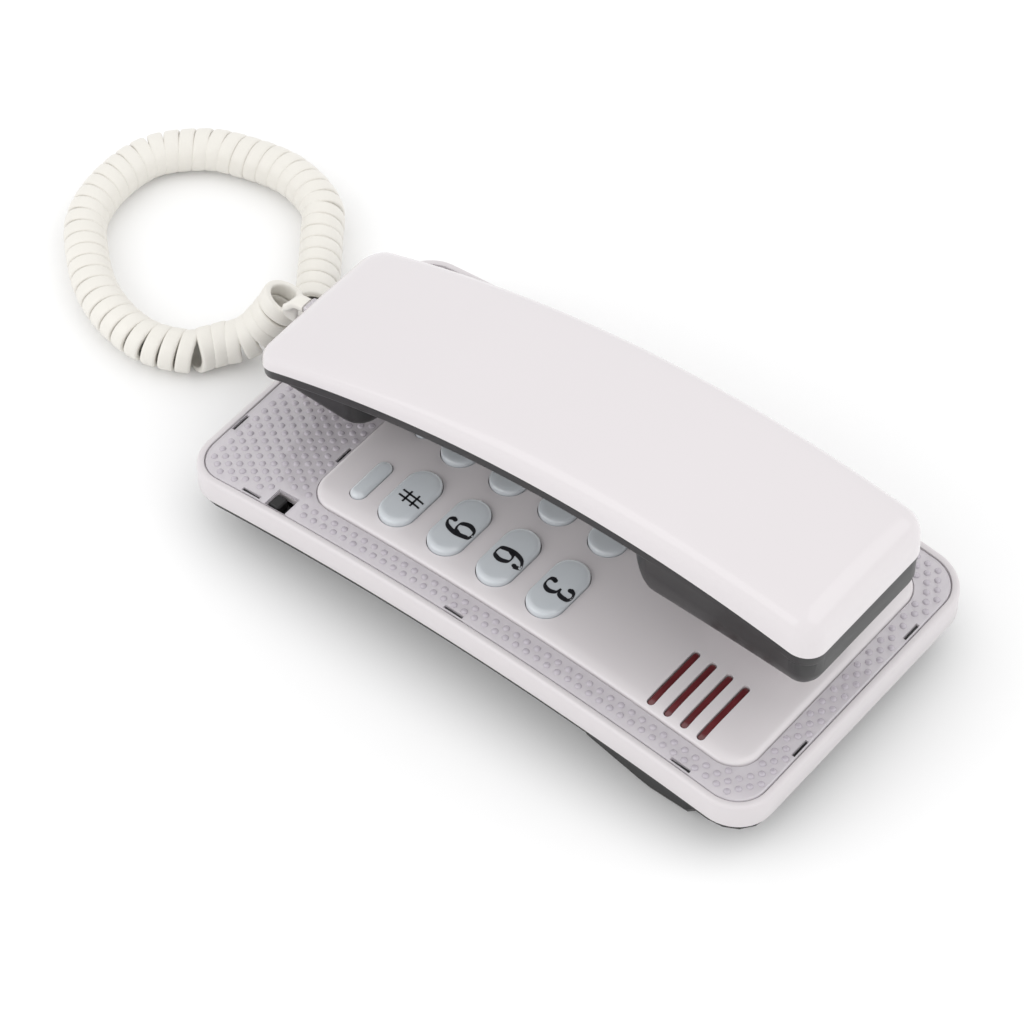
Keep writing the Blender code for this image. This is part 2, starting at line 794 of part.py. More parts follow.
def hook_switch():
    """Spring-loaded plunger that the handset holds down, and the switch under it."""
    top = EAR_REST_Z - GAP
    foot = HOOK_SWITCH_TOP + GAP
    profile = [
        (0, top),
        (HOOK_RADIUS - 0.6 * MM, top),
        (HOOK_RADIUS, top - 0.6 * MM),
        (HOOK_RADIUS, COLLAR_Z),
        (COLLAR_RADIUS, COLLAR_Z),
        (COLLAR_RADIUS, COLLAR_Z - COLLAR),
        (HOOK_RADIUS, COLLAR_Z - COLLAR),
        (HOOK_RADIUS, foot),
        (0, foot),
    ]
    turned("hook_plunger", profile, GREY, (0, HOOK_Y, 0), 16)

    turns, per_turn = 4, 8
    low = face(0)(0, HOOK_Y) - 0.8 * MM
    high = COLLAR_Z - COLLAR - 0.7 * MM
    line = []
    for i in range(turns * per_turn + 1):
        angle = 2 * math.pi * i / per_turn
        z = low + (high - low) * i / (turns * per_turn)
        x, y = SPRING_RADIUS * math.cos(angle), SPRING_RADIUS * math.sin(angle)
        line.append(Vector((x, HOOK_Y + y, z)))
    tube("hook_spring", line, SPRING_WIRE, STEEL, 1)

    bm = bmesh.new()
    half_x, half_y = HOOK_SWITCH_X / 2, HOOK_SWITCH_Y / 2
    z = (BOARD_TOP + GAP, HOOK_SWITCH_TOP)
    add_box(bm, (-half_x, half_x), (HOOK_Y - half_y, HOOK_Y + half_y), z)
    round_edges(part("hook_switch", bm, BLACK), 0.3 * MM, 1)

    bm = bmesh.new()
    lens_x, lens_y = lens_size()
    x = (-2 * half_x - 6 * MM, SLOT_X + lens_x / 2)
    y = (HOOK_Y - half_y - 4 * MM, SLOT_Y + lens_y / 2)
    add_box(bm, x, y, (UPPER_BOARD_Z, BOARD_TOP))
    part("upper_board", bm, BOARD_GREEN)


def arc(steps):
    return [math.pi / 2 * i / steps for i in range(steps + 1)]


def lamp():
    """Red lens with a rib in each slot of the panel, and the lamp under it."""
    under = PANEL_UNDER - GAP
    bm = bmesh.new()
    levels = [(0, face(under - LENS)), (0, face(under))]
    add_loft(bm, (SLOT_X, SLOT_Y), lens_size(), 2 * MM, levels, 2, 3, 2)
    lens = part("lamp_lens", bm, RED)
    bm = bmesh.new()
    levels = [(0, face(under - LENS / 2)), (0, face(0.5 * MM)), (0.25 * MM, face(0.8 * MM))]
    for x, y in slot_places():
        pill_loft(bm, x, y, SLOT_LENGTH - 2 * GAP, SLOT_WIDTH - 2 * GAP, levels, 2)
    join(lens, tool("lamp_ribs", bm))

    foot = BOARD_TOP + GAP
    rim = foot + 1 * MM
    rim_radius = LAMP_RADIUS + 0.4 * MM
    dome = foot + LAMP_HEIGHT - LAMP_RADIUS
    radius = LAMP_RADIUS
    profile = [(radius * math.sin(a), dome + radius * math.cos(a)) for a in arc(3)]
    profile += [(radius, rim), (rim_radius, rim), (rim_radius, foot), (0, foot)]
    turned("ring_lamp", profile, RED, (SLOT_X, SLOT_Y, 0), 12)


def keypad_inside():
    bm = bmesh.new()
    half = COLUMN_PITCH + KEY_LENGTH / 2 - MAT_MARGIN
    start = PILL_Y - PILL_WIDTH / 2 - PILL_FLANGE - 3.1 * MM
    add_box(bm, (-half, half), (start, key_board_end() + 1 * MM), (MAT_Z, MAT_Z + MAT))
    round_edges(part("key_mat", bm, RUBBER), 0.3 * MM, 1)

    bm = bmesh.new()
    half -= BOARD_MARGIN
    add_box(bm, (-half, half), (start - 4.6 * MM, BOARD_END), (BOARD_Z, BOARD_Z + BOARD))
    part("circuit_board", bm, BOARD_GREEN)

    foot = BELLY_FLOOR + GAP
    plate = foot + 1.3 * MM
    crystal = plate + 0.6 * MM
    profile = [(0, crystal), (6 * MM, crystal), (6 * MM, plate), (DISC_RADIUS, plate)]
    profile += [(DISC_RADIUS, foot), (0, foot)]
    turned("ringer_disc", profile, BRASS, (0, DISC_Y, 0), 16)


def ringer_switch():
    low = face(FLANGE_TOP)(0, SWITCH_Y) + 1 * MM
    high = low + SWITCH_BODY_Z
    half_x, half_y = SWITCH_BODY_X / 2, SWITCH_BODY_Y / 2
    bm = bmesh.new()
    x = (SWITCH_X - half_x, SWITCH_X + half_x)
    add_box(bm, x, (SWITCH_Y - half_y, SWITCH_Y + half_y), (low, high))
    part("ringer_switch", bm, BLACK)

    half_x, half_y = KNOB_X / 2, KNOB_Y / 2
    middle = SWITCH_Y - SWITCH_TRAVEL / 2
    bm = bmesh.new()
    x = (SWITCH_X - half_x, SWITCH_X + half_x)
    z = (high + GAP, face(-1 * MM)(0, SWITCH_Y))
    add_box(bm, x, (middle - half_y, middle + half_y), z)
    round_edges(part("ringer_knob", bm, BLACK, (SWITCH_X, middle, high)), 0.4 * MM, 1)


def jack(name, x, z, y, width):
    """A socket that is open towards the phone's lower end."""
    bm = bmesh.new()
    plug_window(bm, x, z, width, (y, y + JACK_DEPTH), SLACK - 0.1 * MM + JACK_WALL)
    socket = part(name, bm, BLACK)
    bm = bmesh.new()
    plug_window(bm, x, z, width, (y - 1 * MM, y + JACK_DEPTH - 2 * MM), SLACK - 0.1 * MM)
    cut(socket, tool(f"{name}_mouth", bm))


def plug(name, x, z, y):
    """A cord plug that reaches into a socket, with a narrow collar where the cord leaves it."""
    bm = bmesh.new()
    plug_window(bm, x, z, PLUG_WIDTH, (y, y + PLUG_LENGTH), 0)
    body = part(name, bm, CLEAR)
    round_edges(body, 0.4 * MM, 1)
    half_x, half_z = PLUG_COLLAR_WIDTH / 2, PLUG_COLLAR_HEIGHT / 2
    bm = bmesh.new()
    add_box(bm, (x - half_x, x + half_x), (y - PLUG_COLLAR, y + 1 * MM), (z - half_z, z + half_z))
    collar = tool(f"{name}_collar", bm)
    round_edges(collar, 0.5 * MM, 1)
    join(body, collar)


def back_shell():
    bm = bmesh.new()
    levels = [
        (0.8 * MM, face(FLANGE_UNDER)),
        (0, face(FLANGE_UNDER + 0.6 * MM)),
        (0, face(FLANGE_TOP)),
    ]
    add_loft(bm, *base_plan(BACK_INSET), levels, straights=LONG_STEPS)
    shell = part("back_shell", bm, BLACK)

    lip_inset = BAND_WALL + GAP
    bm = bmesh.new()
    levels = [(0, face(FLANGE_TOP - 1 * MM)), (0, face(FLANGE_TOP + 2 * MM))]
    add_loft(bm, *base_plan(lip_inset), levels, straights=LONG_STEPS)
    lip = tool("back_lip", bm)
    bm = bmesh.new()
    levels = [(0, face(FLANGE_TOP - 2 * MM)), (0, face(FLANGE_TOP + 3 * MM))]
    add_loft(bm, *base_plan(lip_inset + LIP), levels, straights=LONG_STEPS)
    lip_hollow = tool("back_lip_hollow", bm)
    bm = bmesh.new()
    add_box(
        bm,
        (SWITCH_X - SWITCH_BODY_X / 2 - 1.3 * MM, SWITCH_X + SWITCH_BODY_X / 2 + 2.3 * MM),
        (SWITCH_Y - SWITCH_BODY_Y / 2 - 1 * MM, SWITCH_Y + SWITCH_BODY_Y / 2 + 1 * MM),
        (face(FLANGE_TOP)(0, SWITCH_Y - SWITCH_BODY_Y / 2 - 1 * MM), 30 * MM),
    )
    cut(lip, lip_hollow, tool("back_lip_notch", bm))

    middle = (FLANGE_TOP + FLANGE_UNDER) / 2
    centre = (0, (BELLY_START + BELLY_END) / 2)
    length = BELLY_END - BELLY_START
    bm = bmesh.new()
    levels = [
        (2 * MM, level(BELLY_Z)),
        (0.6 * MM, level(BELLY_Z + 0.6 * MM)),
        (0, level(BELLY_Z + 2 * MM)),
        (0, face(middle)),
    ]
    add_loft(bm, centre, (BELLY_WIDTH, length), BELLY_CORNER, levels, straights=8, arcs=3)
    belly = tool("back_belly", bm)

    block_centre = (0, (BLOCK_START + BLOCK_END) / 2)
    block_length = BLOCK_END - BLOCK_START
    bm = bmesh.new()
    levels = [
        (2.4 * MM, block_floor()),
        (0.8 * MM, block_floor(0.8 * MM)),
        (0, block_floor(2.4 * MM)),
        (0, face(middle)),
    ]
    block_size = (BLOCK_WIDTH, block_length)
    add_loft(bm, block_centre, block_size, BELLY_CORNER, levels, columns=2, straights=8, arcs=3)
    block = tool("back_block", bm)

    bm = bmesh.new()
    levels = [(1 * MM, level(REST_Z)), (0, level(REST_Z + 1 * MM)), (0, level(BELLY_Z + 1 * MM))]
    size = (BAR_WIDTH, BAR_LENGTH)
    add_loft(bm, (0, BAR_Y), size, BELLY_CORNER, levels, columns=2, straights=1, arcs=3)
    bar = tool("back_bar", bm)

    wall = SHELL_WALL
    bm = bmesh.new()
    size = (BELLY_WIDTH - 2 * wall, length - 2 * wall)
    above = face(FLANGE_TOP + 4 * MM)
    levels = [(1 * MM, level(BELLY_FLOOR)), (0, level(BELLY_FLOOR + 1 * MM)), (0, above)]
    add_loft(bm, centre, size, BELLY_CORNER - wall, levels, straights=8, arcs=3)
    belly_room = tool("back_belly_room", bm)
    bm = bmesh.new()
    size = (BLOCK_WIDTH - 2 * wall, block_length - 2 * wall)
    levels = [(1 * MM, block_floor(wall)), (0, block_floor(wall + 1 * MM)), (0, above)]
    add_loft(bm, block_centre, size, BELLY_CORNER - wall, levels, columns=2, straights=8, arcs=3)
    block_room = tool("back_block_room", bm)

    bm = bmesh.new()
    post_x = COLUMN_PITCH + KEY_LENGTH / 2 - MAT_MARGIN - BOARD_MARGIN - 2.1 * MM
    for x in (-post_x, post_x):
        for y in (PILL_Y - 6.6 * MM, BOARD_END - 4 * MM):
            add_cylinder(bm, POST_RADIUS, x, y, (BELLY_Z + 1 * MM, BOARD_Z - GAP), 8)
    post_x = SLOT_X + SLOT_LENGTH / 2 - 2 * MM
    for x, y in ((-11 * MM, 69 * MM), (post_x, 69 * MM), (post_x, 52 * MM)):
        add_cylinder(bm, POST_RADIUS, x, y, (block_floor(1 * MM)(x, y), UPPER_BOARD_Z - GAP), 8)
    posts = tool("back_posts", bm)

    bm = bmesh.new()
    for _, x, y in SCREW_SPOTS:
        add_cylinder(bm, SCREW_HOLE, x, y, (0, 30 * MM), 12)
    outside = (-HALF_LENGTH - 5 * MM, BELLY_START + wall + 0.5 * MM)
    for x, width in ((JACK_X, PLUG_WIDTH), (-JACK_X, LINE_PLUG_WIDTH)):
        plug_window(bm, x, JACK_Z, width, outside, SLACK)
    for y in KEYHOLES:
        add_cylinder(bm, KEYHOLE_RADIUS, 0, y, (0, BELLY_FLOOR + 1 * MM), 16)
    holes = tool("back_holes", bm)
    bm = bmesh.new()
    half = KEYHOLE_SLOT / 2
    for y in KEYHOLES:
        add_box(bm, (-half, half), (y, y + KEYHOLE_LENGTH), (0, BELLY_FLOOR + 0.5 * MM))
    slots = tool("back_slots", bm)

    join(shell, lip, belly, block, bar)
    cut(shell, belly_room, block_room)
    join(shell, posts)
    cut(shell, holes, slots)


def screw(name, x, y, top, head_z):
    """A screw that points up, with its head's upper face at head_z."""
    low = head_z - SCREW_HEAD
    profile = [
        (0, top),
        (SCREW_RADIUS - 0.35 * MM, top),
        (SCREW_RADIUS, top - 0.6 * MM),
        (SCREW_RADIUS, head_z),
        (SCREW_HEAD_RADIUS, head_z),
        (SCREW_HEAD_RADIUS, low + 0.4 * MM),
        (SCREW_HEAD_RADIUS - 0.4 * MM, low),
        (0, low),
    ]
    turned(name, profile, STEEL, (x, y, 0), 10)


def base_small_parts():
    for place, x, y in SCREW_SPOTS:
        head_z = face(FLANGE_UNDER)(x, y) - 0.75 * MM
        screw(f"base_screw_{place}", x, y, face(DECK_UNDER)(x, y) - 0.6 * MM, head_z)
    top = REST_Z - GAP
    radius = FOOT_RADIUS
    profile = [(0, top), (radius, top), (radius, 0.3 * MM), (radius - 0.3 * MM, 0), (0, 0)]
    for place, x, y in FOOT_SPOTS:
        turned(f"foot_{place}", profile, RUBBER, (x, y, 0), 16)
    bm = bmesh.new()
    low = REST_Z + SHELL_WALL + 2.9 * MM
    add_box(bm, (-40 * MM, -18 * MM), (50 * MM, 70 * MM), (low, low + 4.6 * MM))
    round_edges(part("ballast", bm, STEEL), 0.5 * MM, 1)


# Handset


def handset_plan(inset):
    size = (HANDSET_WIDTH - 2 * inset, HANDSET_END - HANDSET_START - 2 * inset)
    return (0, (HANDSET_START + HANDSET_END) / 2), size, HANDSET_CORNER - inset


def handset_plug_hole(bm):
    y = (HANDSET_START - 4 * MM, HANDSET_START + HANDSET_WALL + 1.2 * MM)
    plug_window(bm, 0, HANDSET_JACK_Z, PLUG_WIDTH, y, SLACK)


def handset_screw_holes(bm):
    for y in HANDSET_SCREWS:
        add_cylinder(bm, SCREW_HOLE, 0, y, (40 * MM, handset_top(-3 * MM)(0, y)), 12)


def handset_shell():
    edge, top = handset_edge(), handset_top()
    rise = [(0, 0), (0.1, 0.35), (0.5, 0.62), (1.4, 0.84), (3, 0.96), (5.4, 1)]
    levels = [(inset * MM, between(edge, top, share)) for inset, share in rise]
    bm = bmesh.new()
    add_loft(bm, *handset_plan(0), levels, straights=LONG_STEPS)
    shell = part("handset_shell", bm, GLOSS)

    bm = bmesh.new()
    levels = [
        (0, handset_edge(-1 * MM)),
        (0, between(edge, top, 0.4)),
        (3.6 * MM, handset_top(-HANDSET_WALL)),
    ]
    add_loft(bm, *handset_plan(HANDSET_WALL), levels, straights=LONG_STEPS, arcs=3)
    hollow = tool("handset_hollow", bm)

    bm = bmesh.new()
    for y in HANDSET_SCREWS:
        low = handset_edge(-STRIP + HANDSET_WALL)(0, y) + 0.9 * MM
        add_cylinder(bm, BOSS_RADIUS, 0, y, (low, handset_top(-1 * MM)(0, y)), 12)
    bosses = tool("handset_bosses", bm)
    bm = bmesh.new()
    handset_screw_holes(bm)
    handset_plug_hole(bm)
    holes = tool("handset_shell_holes", bm)
    cut(shell, hollow)
    join(shell, bosses)
    cut(shell, holes)


def ear_plan(inset):
    end = HANDSET_END - STRIP_INSET
    size = (HANDSET_WIDTH - 3 * STRIP_INSET - 2 * inset, end - EAR_BLOCK_START - 2 * inset)
    return (0, (EAR_BLOCK_START + end) / 2), size, HANDSET_CORNER - inset


def mouth_plan(inset):
    start = HANDSET_START + STRIP_INSET
    size = (MOUTH_BLOCK_WIDTH - 2 * inset, MOUTH_BLOCK_END - start - 2 * inset)
    return (0, (start + MOUTH_BLOCK_END) / 2), size, HANDSET_CORNER - inset


def handset_back():
    """Dark underside: a shallow tray along the arch, with a deep block at each end."""
    bm = bmesh.new()
    levels = [
        (0.9 * MM, handset_edge(-STRIP - GAP)),
        (0.2 * MM, handset_edge(-STRIP + 0.2 * MM)),
        (0, handset_edge(-STRIP + 0.8 * MM)),
        (0, handset_edge(-GAP)),
    ]
    add_loft(bm, *handset_plan(STRIP_INSET), levels, straights=LONG_STEPS)
    tray = part("handset_back", bm, GREY)

    shoulder = handset_edge(-EAR_BLOCK_DEPTH)
    rest = level(EAR_REST_Z)
    inside = handset_edge(-2 * MM)
    bm = bmesh.new()
    bulge = [(6, 0), (4, 0.1), (1.9, 0.4), (0.6, 0.75), (0, 1)]
    levels = [(inset * MM, between(rest, shoulder, share)) for inset, share in bulge]
    add_loft(bm, *ear_plan(0), levels + [(0, inside)], straights=6)
    ear_block = tool("ear_block", bm)
    bm = bmesh.new()
    levels = [
        (4 * MM, level(MOUTH_REST_Z)),
        (1.4 * MM, level(MOUTH_REST_Z + 0.6 * MM)),
        (0, level(MOUTH_REST_Z + 2.4 * MM)),
        (0, inside),
    ]
    add_loft(bm, *mouth_plan(0), levels, columns=2, straights=4)
    mouth_block = tool("mouth_block", bm)

    wall = HANDSET_WALL
    above = handset_edge(6 * MM)
    bm = bmesh.new()
    levels = [(0, handset_edge(-STRIP - GAP + wall)), (0, above)]
    add_loft(bm, *handset_plan(STRIP_INSET + wall), levels, straights=LONG_STEPS, arcs=3)
    tray_room = tool("tray_room", bm)
    bm = bmesh.new()
    levels = [
        (4 * MM, level(EAR_REST_Z + wall)),
        (0.6 * MM, between(rest, shoulder, 0.6)),
        (0, shoulder),
        (0, above),
    ]
    add_loft(bm, *ear_plan(wall), levels, straights=6, arcs=3)
    ear_room = tool("ear_room", bm)
    bm = bmesh.new()
    levels = [(0, level(MOUTH_REST_Z + wall)), (0, above)]
    add_loft(bm, *mouth_plan(wall), levels, columns=2, straights=4, arcs=3)
    mouth_room = tool("mouth_room", bm)

    bm = bmesh.new()
    handset_plug_hole(bm)
    add_tab(bm, TAB_SLACK, (EAR_REST_Z - 2 * MM, EAR_REST_Z + TAB_RISE + 5 * MM))
    z = (EAR_REST_Z - 2 * MM, EAR_REST_Z + HANDSET_WALL + 2 * MM)
    add_cylinder(bm, EAR_CAP_RADIUS + GAP, 0, EAR_CAP_Y, z)
    for x in (-MIC_RADIUS / 2, 0, MIC_RADIUS / 2):
        add_cylinder(bm, SOUND_HOLE, x, MIC_Y, (MOUTH_REST_Z - 4 * MM, MOUTH_REST_Z + 4 * MM), 8)
    handset_screw_holes(bm)
    holes = tool("handset_back_holes", bm)
    join(tray, ear_block, mouth_block)
    cut(tray, tray_room, ear_room, mouth_room, holes)


def handset_inside():
    top = EAR_REST_Z + HANDSET_WALL
    bm = bmesh.new()
    add_cylinder(bm, EAR_CAP_RADIUS, 0, EAR_CAP_Y, (EAR_REST_Z, top))
    cap = part("ear_cap", bm, GREY)
    bm = bmesh.new()
    through = (EAR_REST_Z - 2 * MM, top + 2 * MM)
    add_cylinder(bm, SOUND_HOLE, 0, EAR_CAP_Y, through, 6)
    for i in range(6):
        a = math.pi * i / 3
        x, y = SOUND_PITCH * math.cos(a), EAR_CAP_Y + SOUND_PITCH * math.sin(a)
        add_cylinder(bm, SOUND_HOLE, x, y, through, 6)
    cut(cap, tool("ear_cap_holes", bm))

    foot = top + GAP
    magnet = RECEIVER_RADIUS - 6 * MM
    profile = [
        (0, foot + RECEIVER_HEIGHT),
        (magnet, foot + RECEIVER_HEIGHT),
        (magnet, foot + RECEIVER_HEIGHT / 2),
        (RECEIVER_RADIUS, foot + 3 * MM),
        (RECEIVER_RADIUS, foot),
        (0, foot),
    ]
    turned("receiver", profile, BLACK, (0, EAR_CAP_Y - 1 * MM, 0), 16)

    foot = MOUTH_REST_Z + HANDSET_WALL + GAP
    top = foot + MIC_HEIGHT
    profile = [(0, top), (MIC_RADIUS, top), (MIC_RADIUS, foot), (0, foot)]
    turned("microphone", profile, STEEL, (0, MIC_Y, 0), 16)

    bm = bmesh.new()
    y = (HANDSET_SCREWS[1] + 5 * MM, HANDSET_SCREWS[1] + 5 * MM + WEIGHT_LENGTH)
    low = HANDSET_PEAK_Z - STRIP + HANDSET_WALL + 0.2 * MM
    add_box(bm, (-WEIGHT_WIDTH / 2, WEIGHT_WIDTH / 2), y, (low, low + WEIGHT_HEIGHT))
    round_edges(part("handset_weight", bm, STEEL), 0.5 * MM, 1)

    for name, y in zip(("lower", "upper"), HANDSET_SCREWS):
        head_z = handset_edge(-STRIP - GAP)(0, y) - 0.8 * MM
        screw(f"handset_screw_{name}", 0, y, handset_top(-3.6 * MM)(0, y), head_z)


def place_handset():
    """Gather the handset's pieces under an empty on the line that it lifts along."""
    lift = bpy.data.objects.new("handset_lift", None)
    lift.location = (0, (HANDSET_START + HANDSET_END) / 2, 0)
    lift.empty_display_size = 20 * MM
    PARTS.objects.link(lift)
    for name in HANDSET_PIECES:
        piece = bpy.data.objects[name]
        piece.parent = lift
        piece.matrix_parent_inverse = Matrix.Translation(-lift.location)


clear_scene()
PARTS = collection("slimline_wall_phone")
CUTTERS = collection("cutters")
WHITE = material("white ABS", "DEDADB", 0.35)
GLOSS = material("glossy white ABS", "E2DEDF", 0.15)
CLEAR = material("clear styrene", "E6E2E6", 0.08)
KEYCAP = material("pale blue-grey keycap", "C8CED4", 0.12)
RED = material("red lens", "5A2020", 0.1)
BLACK = material("black ABS", "2B2B2C", 0.4)
GREY = material("dark grey ABS", "464446", 0.38)
RUBBER = material("grey rubber", "8A8A88", 0.8)
STEEL = material("steel", "B9B9B9", 0.3, 1.0)
BRASS = material("brass", "C9A860", 0.3, 1.0)
BOARD_GREEN = material("circuit board", "2F6B45", 0.5)
CORD = material("ivory cord", "E1E0DA", 0.45)

front_frame()
clear_panel()
keypad_panel()
keys()
cradles()
hook_switch()
lamp()
keypad_inside()
ringer_switch()
back_shell()
base_small_parts()
jack("cord_jack", JACK_X, JACK_Z, JACK_Y, PLUG_WIDTH)
jack("line_jack", -JACK_X, JACK_Z, JACK_Y, LINE_PLUG_WIDTH)
handset_shell()
handset_back()
handset_inside()
jack("handset_jack", 0, HANDSET_JACK_Z, HANDSET_JACK_Y, PLUG_WIDTH)
plug("cord_plug_base", JACK_X, JACK_Z, -HALF_LENGTH - PLUG_COLLAR)
plug("cord_plug_handset", 0, HANDSET_JACK_Z, HANDSET_START + HANDSET_PLUG_DEPTH)
tube("cord_lead_base", smooth_line(BASE_LEAD, 2.5 * MM), LEAD_RADIUS, CORD)
tube("curly_cord", smooth_line(COIL, 9 * MM), COIL_RADIUS, CORD, 3)
tube("cord_lead_handset", smooth_line(HANDSET_LEAD, 2.5 * MM), LEAD_RADIUS, CORD)
place_handset()
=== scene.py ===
"""Slimline wall phone: the fine surfaces, finishes, cord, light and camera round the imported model.

Metres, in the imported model's frame: +Z up out of the phone's face, +Y towards the ear end,
+X towards the 3-6-9-# column of keys.
"""
import json
import math

import bmesh
import bpy
from mathutils import Matrix, Vector


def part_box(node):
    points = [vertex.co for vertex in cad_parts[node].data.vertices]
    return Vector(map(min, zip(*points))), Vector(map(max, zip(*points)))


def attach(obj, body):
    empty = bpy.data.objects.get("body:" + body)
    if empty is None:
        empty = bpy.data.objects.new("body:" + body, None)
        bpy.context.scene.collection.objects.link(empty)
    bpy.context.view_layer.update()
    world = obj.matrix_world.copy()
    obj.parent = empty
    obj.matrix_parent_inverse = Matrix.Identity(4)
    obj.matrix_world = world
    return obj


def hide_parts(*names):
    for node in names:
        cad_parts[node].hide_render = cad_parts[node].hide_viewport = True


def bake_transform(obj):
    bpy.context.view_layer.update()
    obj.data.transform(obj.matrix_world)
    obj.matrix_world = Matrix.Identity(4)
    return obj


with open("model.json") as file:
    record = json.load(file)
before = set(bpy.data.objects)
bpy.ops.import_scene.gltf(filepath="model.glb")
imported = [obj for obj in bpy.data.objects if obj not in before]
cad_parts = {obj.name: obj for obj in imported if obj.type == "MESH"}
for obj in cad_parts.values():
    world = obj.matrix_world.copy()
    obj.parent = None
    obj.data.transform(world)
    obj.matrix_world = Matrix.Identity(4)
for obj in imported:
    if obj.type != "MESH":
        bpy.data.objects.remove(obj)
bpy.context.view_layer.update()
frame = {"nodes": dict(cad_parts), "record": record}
MM = 0.001

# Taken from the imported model
base_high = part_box("front_frame")[1]
panel_low, panel_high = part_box("keypad_panel")
hand_low, hand_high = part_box("handset_shell")
HALF_WIDTH = base_high.x
HALF_LENGTH = base_high.y
RIM_Z = base_high.z
PANEL_MIDDLE = (panel_low + panel_high) / 2
PANEL_SIZE = panel_high - panel_low
HANDSET_MIDDLE = (hand_low + hand_high) / 2
HANDSET_SIZE = hand_high - hand_low

# Base
END_DROP = 6.7 * MM
ARCH_RADIUS = HALF_LENGTH**2 / (2 * END_DROP)
BASE_CORNER = 11.5 * MM
BAND = 8 * MM
BAND_WALL = 2.2 * MM
RIM_WIDTH = 2 * MM
DECK_DROP = 1.6 * MM
DECK = 1.8 * MM
GAP = 0.3 * MM
HOOK_HOLE = 4.6 * MM
PLUG_HALF = 4.5 * MM  # half width of the cord socket's window
LINE_HALF = 6 * MM  # and of the line socket's
PLUG_SLACK = 0.8 * MM
WINDOW = (6 * MM, 6.8 * MM)  # the ringer switch's window
THROUGH = (5 * MM, 45 * MM)  # heights of a cut through the deck
PANEL_CORNER = 8 * MM
PANEL_RISE = 1.6 * MM
CLIP_LENGTH = 6 * MM
CLIP_WIDTH = 1 * MM
CLIP_INSET = 3.2 * MM

# Keys
KEY_LENGTH = 20 * MM
KEY_WIDTH = 10.3 * MM
KEY_RISE = 1.75 * MM
KEY_DOME = 2.2 * MM  # how far in the rounding of a key reaches
KEY_ROLL = 1.1 * MM  # and how far down
PILL_LENGTH = 14.4 * MM
PILL_WIDTH = 4.6 * MM
PILL_RISE = 1.3 * MM
PILL_DOME = 2.1 * MM
PILL_ROLL = 1.2 * MM
DOME_STEPS = 10
FINGER = 0.2 * MM  # play between a cap and its hole
FLANGE = 0.8 * MM
KEY_STEM = 2.5 * MM  # how far in from a cap's outline its stem starts
PILL_STEM = 0.8 * MM
SLOT_LENGTH = 20.4 * MM
SLOT_WIDTH = 2.2 * MM
SLOT_PITCH = 5.15 * MM
SLOTS = 4
LENS_THICK = 1.4 * MM
RIB_RISE = 1.15 * MM  # height of the lens's ribs above the deck
RIB_ROUND = 0.45 * MM
RIB_DIP = 0.75 * MM  # how far a rib's end dips under the panel's rolled edge
RIB_RUN = 7 * MM

# Dots of the clear panel
DOT_PITCH = 3.3 * MM
DOT_ROWS = 2.45 * MM
DOT_RADIUS = 0.95 * MM
DOT_RISE = 0.5 * MM
DOT_SPOKES = 10
DOT_RINGS = [(1, -0.06), (0.97, 0.2), (0.8, 0.62), (0.5, 0.89)]  # shares of the radius and of the rise
RIM_MARGIN = 3.7 * MM  # from the base's outline to the nearest dot's middle
PANEL_MARGIN = 1.05 * MM  # from the panel's outline
CLIP_MARGIN = 1 * MM
WINDOW_MARGIN = 1.3 * MM

# Handset
HANDSET_CORNER = 6.5 * MM
PEAK_Z = 62.5 * MM
PEAK_Y = 31 * MM
HANDSET_RADIUS = 312.5 * MM
SHELL_RISE = 7.8 * MM
SHELL_TAPER = 0.0367
SHELL_CROWN = 0.8 * MM
STRIP = 3.8 * MM
STRIP_INSET = 0.4 * MM
EAR_START = 35 * MM
EAR_DEPTH = 8 * MM
EAR_Z = 42 * MM
EAR_CAP_RADIUS = 11.5 * MM
EAR_CAP_Y = 60 * MM
MOUTH_WIDTH = 42 * MM
MOUTH_END = -52 * MM
MOUTH_Z = 34 * MM
HANDSET_WALL = 2 * MM
SOUND_HOLE = 0.7 * MM  # radius of the holes before the microphone
SOUND_PITCH = 2.4 * MM
SCREW_HOLE = 1.6 * MM

# Cord
CORD_WIDTH = 4.25 * MM
CORD_THICK = 2.1 * MM
COIL_RADIUS = 5.95 * MM
TURN = 4.3 * MM  # pitch of the close turns
STEPS = 24  # in each turn
EASE = 20  # steps in which the first turn widens
END_STEPS = 8  # between two points of a straight end
CORD_CORNERS = 16  # round the cord's section

# The cord's route in millimetres: from the base plug, round the coil, up to the handset plug
BASE_LEAD = [
    (-16, -98.3, 11.2),
    (-16.2, -100.4, 10.7),
    (-17.1, -102.7, 9.2),
    (-18.8, -104.4, 7.5),
]
COIL = [
    (-21.2, -106, 6.4),
    (-26.9, -109.9, 6.2),
    (-32.6, -114, 6.2),
    (-43.8, -122.5, 6.2),
    (-53.1, -130.7, 6.2),
    (-57, -145.3, 6.2),
    (-53.9, -160.9, 6.2),
    (-49.1, -170.6, 6.2),
    (-38.4, -179.7, 6.2),
    (-23.8, -181.5, 6.2),
    (-9.5, -177.6, 6.2),
    (1, -167.9, 6.2),
    (8.8, -157.1, 6.2),
    (13, -145.4, 6.2),
    (13.6, -134.1, 6.2),
    (9.5, -123.7, 6.3),
    (5.6, -120.7, 6.4),
    (1.7, -117.9, 6.8),
    (-1.3, -114.9, 7.6),
    (-4.4, -112.6, 9.4),
    (-7.4, -110.9, 12.4),
    (-9.7, -109.3, 16),
    (-12.1, -108, 20),
]
HANDSET_LEAD = [
    (-10.6, -101.9, 19.6),
    (-7.2, -99.9, 23.3),
    (-3.8, -97.6, 27),
    (-1.4, -95.9, 31.8),
    (-0.3, -94.3, 36.4),
    (0, -91.8, 39.8),
    (0, -88.4, 40.6),
]


# Finishes


